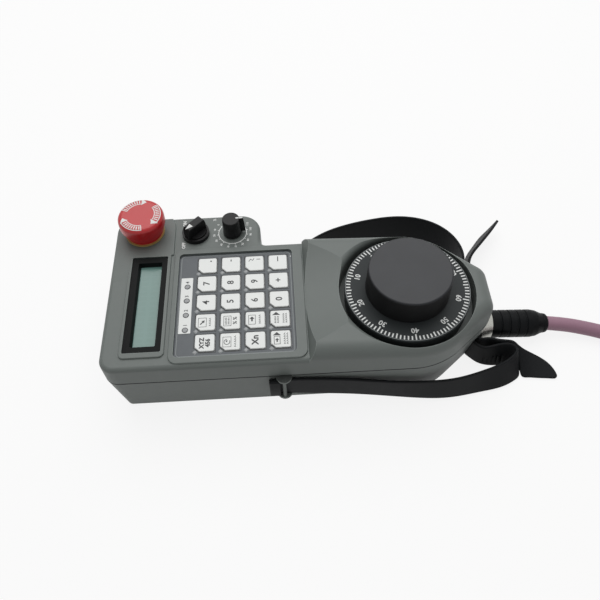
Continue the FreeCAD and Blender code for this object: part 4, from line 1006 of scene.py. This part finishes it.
SIDE_HEAD = (Ink.area, (4.9, 2.4), (2.6, 4.9), (2.6, -0.1))
SIGNS = {
    (1, 1): [(Ink.box, 3.4, -2.2, 0.5, 0.5, 0.5)],
    (1, 2): [(Ink.stroke, [(2.4, 0.0), (4.0, 0.0)], 0.7)],
    (1, 3): [(Ink.stroke, [(1.6, 3.8), (3.4, 2.6), (2.4, 1.2), (4.0, 0.2)], 0.4),
             (Ink.words, "1", 3.4, 3.2, -2.8)],
    (1, 4): [(Ink.stroke, [(0.6, 0.0), (4.6, 0.0)], 0.6)],
    (4, 1): [(Ink.box, -0.2, 1.9, 6.6, 5.0, 0.28), (Ink.stroke, [(-1.7, 3.2), (0.2, 1.4)], 0.7),
             (Ink.area, (1.4, 0.4), (0.8, 2.4), (-0.8, 0.8)), (lines_of, 0.0, -2.9, 6.4, 1)],
    (4, 2): [(Ink.box, 0.0, 1.8, 7.2, 4.6, 0.28), (lines_of, 0.0, 2.7, 5.4, 2),
             (Ink.words, "%", 3.4, -1.5, -3.0), (Ink.words, "%", 3.4, 1.7, -3.0)],
    (4, 3): [(Ink.box, 0.0, 2.0, 6.8, 4.2, 0.28), (arrow, 0.4, 2.0, 2.0), (lines_of, 0.2, -2.9, 7.0, 1)],
    (4, 4): [SIDE_HEAD, (lines_of, -0.9, 3.0, 5.4, 2), (lines_of, 0.2, -2.2, 7.4, 2)],
    (5, 1): [(Ink.words, "XYZ", 3.9, -0.3, 1.7, 0.045), (Ink.words, "456", 3.9, -0.3, -2.0, 0.045)],
    (5, 2): [(Ink.box, -0.3, 1.9, 7.0, 5.0, 0.28), (Ink.stroke, arc(1.8, 0, 300, 20, -0.3, 1.9), 0.4),
             (Ink.area, (-0.6, 1.9), (0.5, 2.9), (0.9, 1.5)), (lines_of, 0.0, -3.2, 8.4, 1)],
    (5, 3): [(Ink.words, "Xn", 5.6, 0.2, 0.0, 0.035)],
    (5, 4): [SIDE_HEAD, (Ink.box, -0.9, 2.3, 5.6, 3.6, 0.35), (arrow, -1.0, 2.3, 1.6),
             (lines_of, 0.2, -2.4, 8.4, 2)],
}
for i, figure in enumerate("789+4560"):
    SIGNS[2 + i // 4, 1 + i % 4] = [(Ink.words, figure, KEY_FIGURE)]
KEY_PLACES = {(row, column): (x, y) for row, y in enumerate(KEY_ROWS, 1)
              for column, x in enumerate(KEY_COLUMNS, 1)}

for key, place in KEY_PLACES.items():
    key_ink = Ink().at(*place, KEY_TOP, 90)
    for step, *values in SIGNS[key]:
        step(key_ink, *values)
    body = "key_r%dc%d" % key
    key_ink.press(body + "_sign", dark_ink_and_shade, body)
print("key signs", len(KEY_PLACES))

# %% [markdown]
# The film between the keys is printed too: a fine line runs round just inside its edge, and a small diamond
# frames each key's lamp. A dark line round each key is painted shade, where shadow falls round it. The white
# strip has a ring and a figure for each status lamp.

# %% Film and strip
FILM_TOP = 55.4
FILM_MIDDLE = (-109.65, 0)
LINE_HALF = Vector((36.2, 38.7))
LINE_CORNER = 2.2
FRAME = 6.68            # from a key's middle to its frame
FRAME_CUT = 3.28        # where the frame's corner is cut off for the lamp
LAMP_OFF = (-5.8, -6.2)
DOT_PLACE = (-73.3, 35.0)
STRIP_TOP = 55.65
STRIP_X = -141.0
STATUS_LAMPS = (-19.9, -8.8, 2.3, 13.4)
film_print = Ink().at(*FILM_MIDDLE, FILM_TOP)
film_edge = []
for turn, right, up in ((0, 1, 1), (90, -1, 1), (180, -1, -1), (270, 1, -1)):
    corner = (right * (LINE_HALF.x - LINE_CORNER), up * (LINE_HALF.y - LINE_CORNER))
    film_edge += arc(LINE_CORNER, turn, turn + 90, 5, *corner)
film_print.stroke(film_edge, 0.4, closed=True)
painted_key_shadows = Ink()
key_shadow_outline = [(-FRAME_CUT, -FRAME), (FRAME, -FRAME), (FRAME, FRAME), (-FRAME, FRAME), (-FRAME, -FRAME_CUT)]
for x, y in KEY_PLACES.values():
    film_print.at(x + LAMP_OFF[0], y + LAMP_OFF[1], FILM_TOP, 45).box(0, 0, 2.0, 2.0, 0.4)
    # Painted shadow: a dark line round each key.
    painted_key_shadows.at(x, y, FILM_TOP).stroke(key_shadow_outline, 0.45, closed=True)
film_print.press("film_line", grey_ink_and_highlight, "panel")
painted_key_shadows.press("film_painted_key_shadows", dark_ink_and_shade, "panel")
Ink().at(*DOT_PLACE, FILM_TOP).area(*arc(0.6, 0, 330, 11)).press("film_dot", white_ink, "panel")
strip_print = Ink()
for number, y in enumerate(STATUS_LAMPS, 1):
    strip_print.at(STRIP_X, y, STRIP_TOP, 90).words(str(number), 3.2, 3.6)
    strip_print.stroke(arc(1.75, 0, 345, 23), 0.45, closed=True)
strip_print.press("strip_figures", dark_ink_and_shade, "panel")
print("film edge points", len(film_edge), "status figures", len(STATUS_LAMPS))

# %% [markdown]
# ## The cable
# A machine panel hangs on about five metres of heavy cable with a plug on its end. The photograph shows only
# its first part, so the rest lies beside the view as a coil, held by two ties. A cable bends smoothly, so one
# NURBS line carries all of it: the lead, then the turns, then the run to the plug. The turns fill four
# layers and four rows, and each turn moves over to its next place during a sixth of a turn.

# %% Cable line
CABLE_R = 5.0
LEAD = [(102.3, 0, 9.976), (115.5, -0.8, 8.5), (131, -4, 7), (149.2, -10, 6), (166, -24.6, 6.3),
        (175.2, -44.8, 6.3)]
RUN_TO_PLUG = [(268.71, 3.33, 6.4), (257.09, 14.2, 7.6), (246.33, 27.57, 11.2), (238.1, 38.32, 11.2)]
COIL_CENTRE = (246.0, -66.0)
LAYER_RADII = (70.3, 60.1, 49.9, 39.7)
ROW_HEIGHTS = (6.4, 16.6, 26.8, 37.0)
PLACES = [(0, 0), (1, 0), (2, 0), (3, 0), (3, 1), (2, 1), (1, 1), (1, 2), (2, 2), (3, 2), (3, 3), (2, 3),
          (1, 3), (0, 3), (0, 2), (0, 1), (0, 0)]
POINTS_PER_TURN = 16
CROSSING = 60.0         # degrees over which a turn moves to its next place
STAY = 262.0            # degrees that it keeps a place
FIRST_STAY = 12.0
LAST_STAY = 18.0


def coil_place(turned):
    """Radius and height of the cable after it has gone round by so many degrees."""
    stay = FIRST_STAY
    for here, following in zip(PLACES, PLACES[1:]):
        if turned <= stay + CROSSING:
            part = max(0.0, (turned - stay) / CROSSING)
            ease = part * part * (3 - 2 * part)
            radii = [LAYER_RADII[place[0]] for place in (here, following)]
            heights = [ROW_HEIGHTS[place[1]] for place in (here, following)]
            return radii[0] + (radii[1] - radii[0]) * ease, heights[0] + (heights[1] - heights[0]) * ease
        turned -= stay + CROSSING
        stay = STAY
    return LAYER_RADII[0], ROW_HEIGHTS[0]


def coil_points():
    whole = FIRST_STAY + CROSSING + (len(PLACES) - 2) * (STAY + CROSSING) + LAST_STAY
    steps = round(whole / 360 * POINTS_PER_TURN)
    step = whole / steps
    inside = 0.75 + 0.25 * math.cos(math.radians(step))     # how far the line runs inside its points
    points = []
    for number in range(steps + 1):
        radius, height = coil_place(number * step)
        angle = math.radians(180 + number * step)
        points.append((COIL_CENTRE[0] + radius / inside * math.cos(angle),
                       COIL_CENTRE[1] + radius / inside * math.sin(angle), height))
    return points


def cable_piece():
    points = LEAD + coil_points() + RUN_TO_PLUG
    curve = bpy.data.curves.new("signal_cable", "CURVE")
    curve.dimensions = "3D"
    curve.bevel_depth = CABLE_R * MM
    curve.bevel_resolution = 5
    curve.use_fill_caps = True
    curve.resolution_u = 4
    line = curve.splines.new("NURBS")
    line.points.add(len(points) - 1)
    for knot, point in zip(line.points, points):
        knot.co = (*(Vector(point) * MM), 1)
    line.order_u = 3
    line.use_endpoint_u = True
    return shown("signal_cable", curve)


signal_cable = cable_piece()
print("cable points", len(signal_cable.data.splines[0].points))

# %% [markdown]
# The sheath is soft mauve plastic. It is nearly matt, with a faint sheen and the grey smears that
# a cable picks up from a workshop floor.

# %% Cable finish
cable_sheath = moulded("cable_sheath", srgb(149, 112, 129), 0.48, 0.8, 0.08, 0.09)
signal_cable.data.materials.append(cable_sheath)
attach(signal_cable, "panel")
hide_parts("cable", "cable_coil")

# %% [markdown]
# ## Light and floor
# The photograph is a product shot on white paper under a wide soft light. The world is an even white that
# shines with a third of its seen strength, and one large lamp above and behind adds the soft shadow. The
# paper looks white to the camera and in reflections, and it still takes a part of the shadow.

# %% Studio
scene = bpy.context.scene
scene.view_settings.view_transform = "Standard"
PAPER_GLOW = 0.86
PAPER_HALF = 6.0
WORLD_LIGHT = 0.34
LAMP_PLACE = (-0.05, 0.5, 1.1)
LAMP_AIM = (-0.06, 0, 0.03)
LAMP_SIZE = 1.2
LAMP_POWER = 10.5


def seen_rays(flow):
    """1 for rays that look at the background, straight on or through gloss and glass."""
    rays = [flow.node("ShaderNodeLightPath", None, None, out=name)
            for name in ("Is Camera Ray", "Is Glossy Ray", "Is Transmission Ray")]
    return flow.math("MINIMUM", rays[0] + rays[1] + rays[2], 1.0)


def white_paper():
    material, shader, place = new_finish("white_paper")
    fibre = noise(place, 900.0, 3.0)
    feed(shader, "Base Color", fibre.mixed((0.86, 0.86, 0.855), (0.90, 0.90, 0.895)))
    feed(shader, "Roughness", 0.9)
    glow = place.node("ShaderNodeEmission", None, {"Color": (1, 1, 1, 1), "Strength": 1.0})
    mixed = place.node("ShaderNodeMixShader", None, {0: seen_rays(place) * PAPER_GLOW, 2: glow})
    material.node_tree.links.new(shader.outputs[0], mixed.socket.node.inputs[1])
    finish = material.node_tree.nodes["Material Output"]
    material.node_tree.links.new(mixed.socket, finish.inputs["Surface"])
    return material


def paper_floor():
    sheet = bmesh.new()
    bmesh.ops.create_grid(sheet, x_segments=1, y_segments=1, size=PAPER_HALF)
    mesh = bpy.data.meshes.new("paper_floor")
    sheet.to_mesh(mesh)
    mesh.materials.append(white_paper())
    floor = shown("paper_floor", mesh)
    return floor


def white_world(strength):
    world = bpy.data.worlds.new("white_world")
    world.use_nodes = True
    flow = Flow(world.node_tree)
    backdrop = world.node_tree.nodes["Background"]
    backdrop.inputs["Color"].default_value = (1, 1, 1, 1)
    seen = seen_rays(flow)
    level = seen * (1 - strength) + strength
    world.node_tree.links.new(level.socket, backdrop.inputs["Strength"])
    scene.world = world


def soft_lamp(name, place, aim, size, power):
    lamp = bpy.data.lights.new(name, "AREA")
    lamp.shape = "SQUARE"
    lamp.size = size
    lamp.energy = power
    holder = shown(name, lamp)
    turn = (Vector(place) - Vector(aim)).to_track_quat("Z", "Y")
    holder.matrix_world = Matrix.Translation(place) @ turn.to_matrix().to_4x4()
    return holder


paper_floor()
white_world(WORLD_LIGHT)
soft_lamp("key_lamp", LAMP_PLACE, LAMP_AIM, LAMP_SIZE, LAMP_POWER)

# %% [markdown]
# ## Finish

# %% Finish
print("scene dressed")
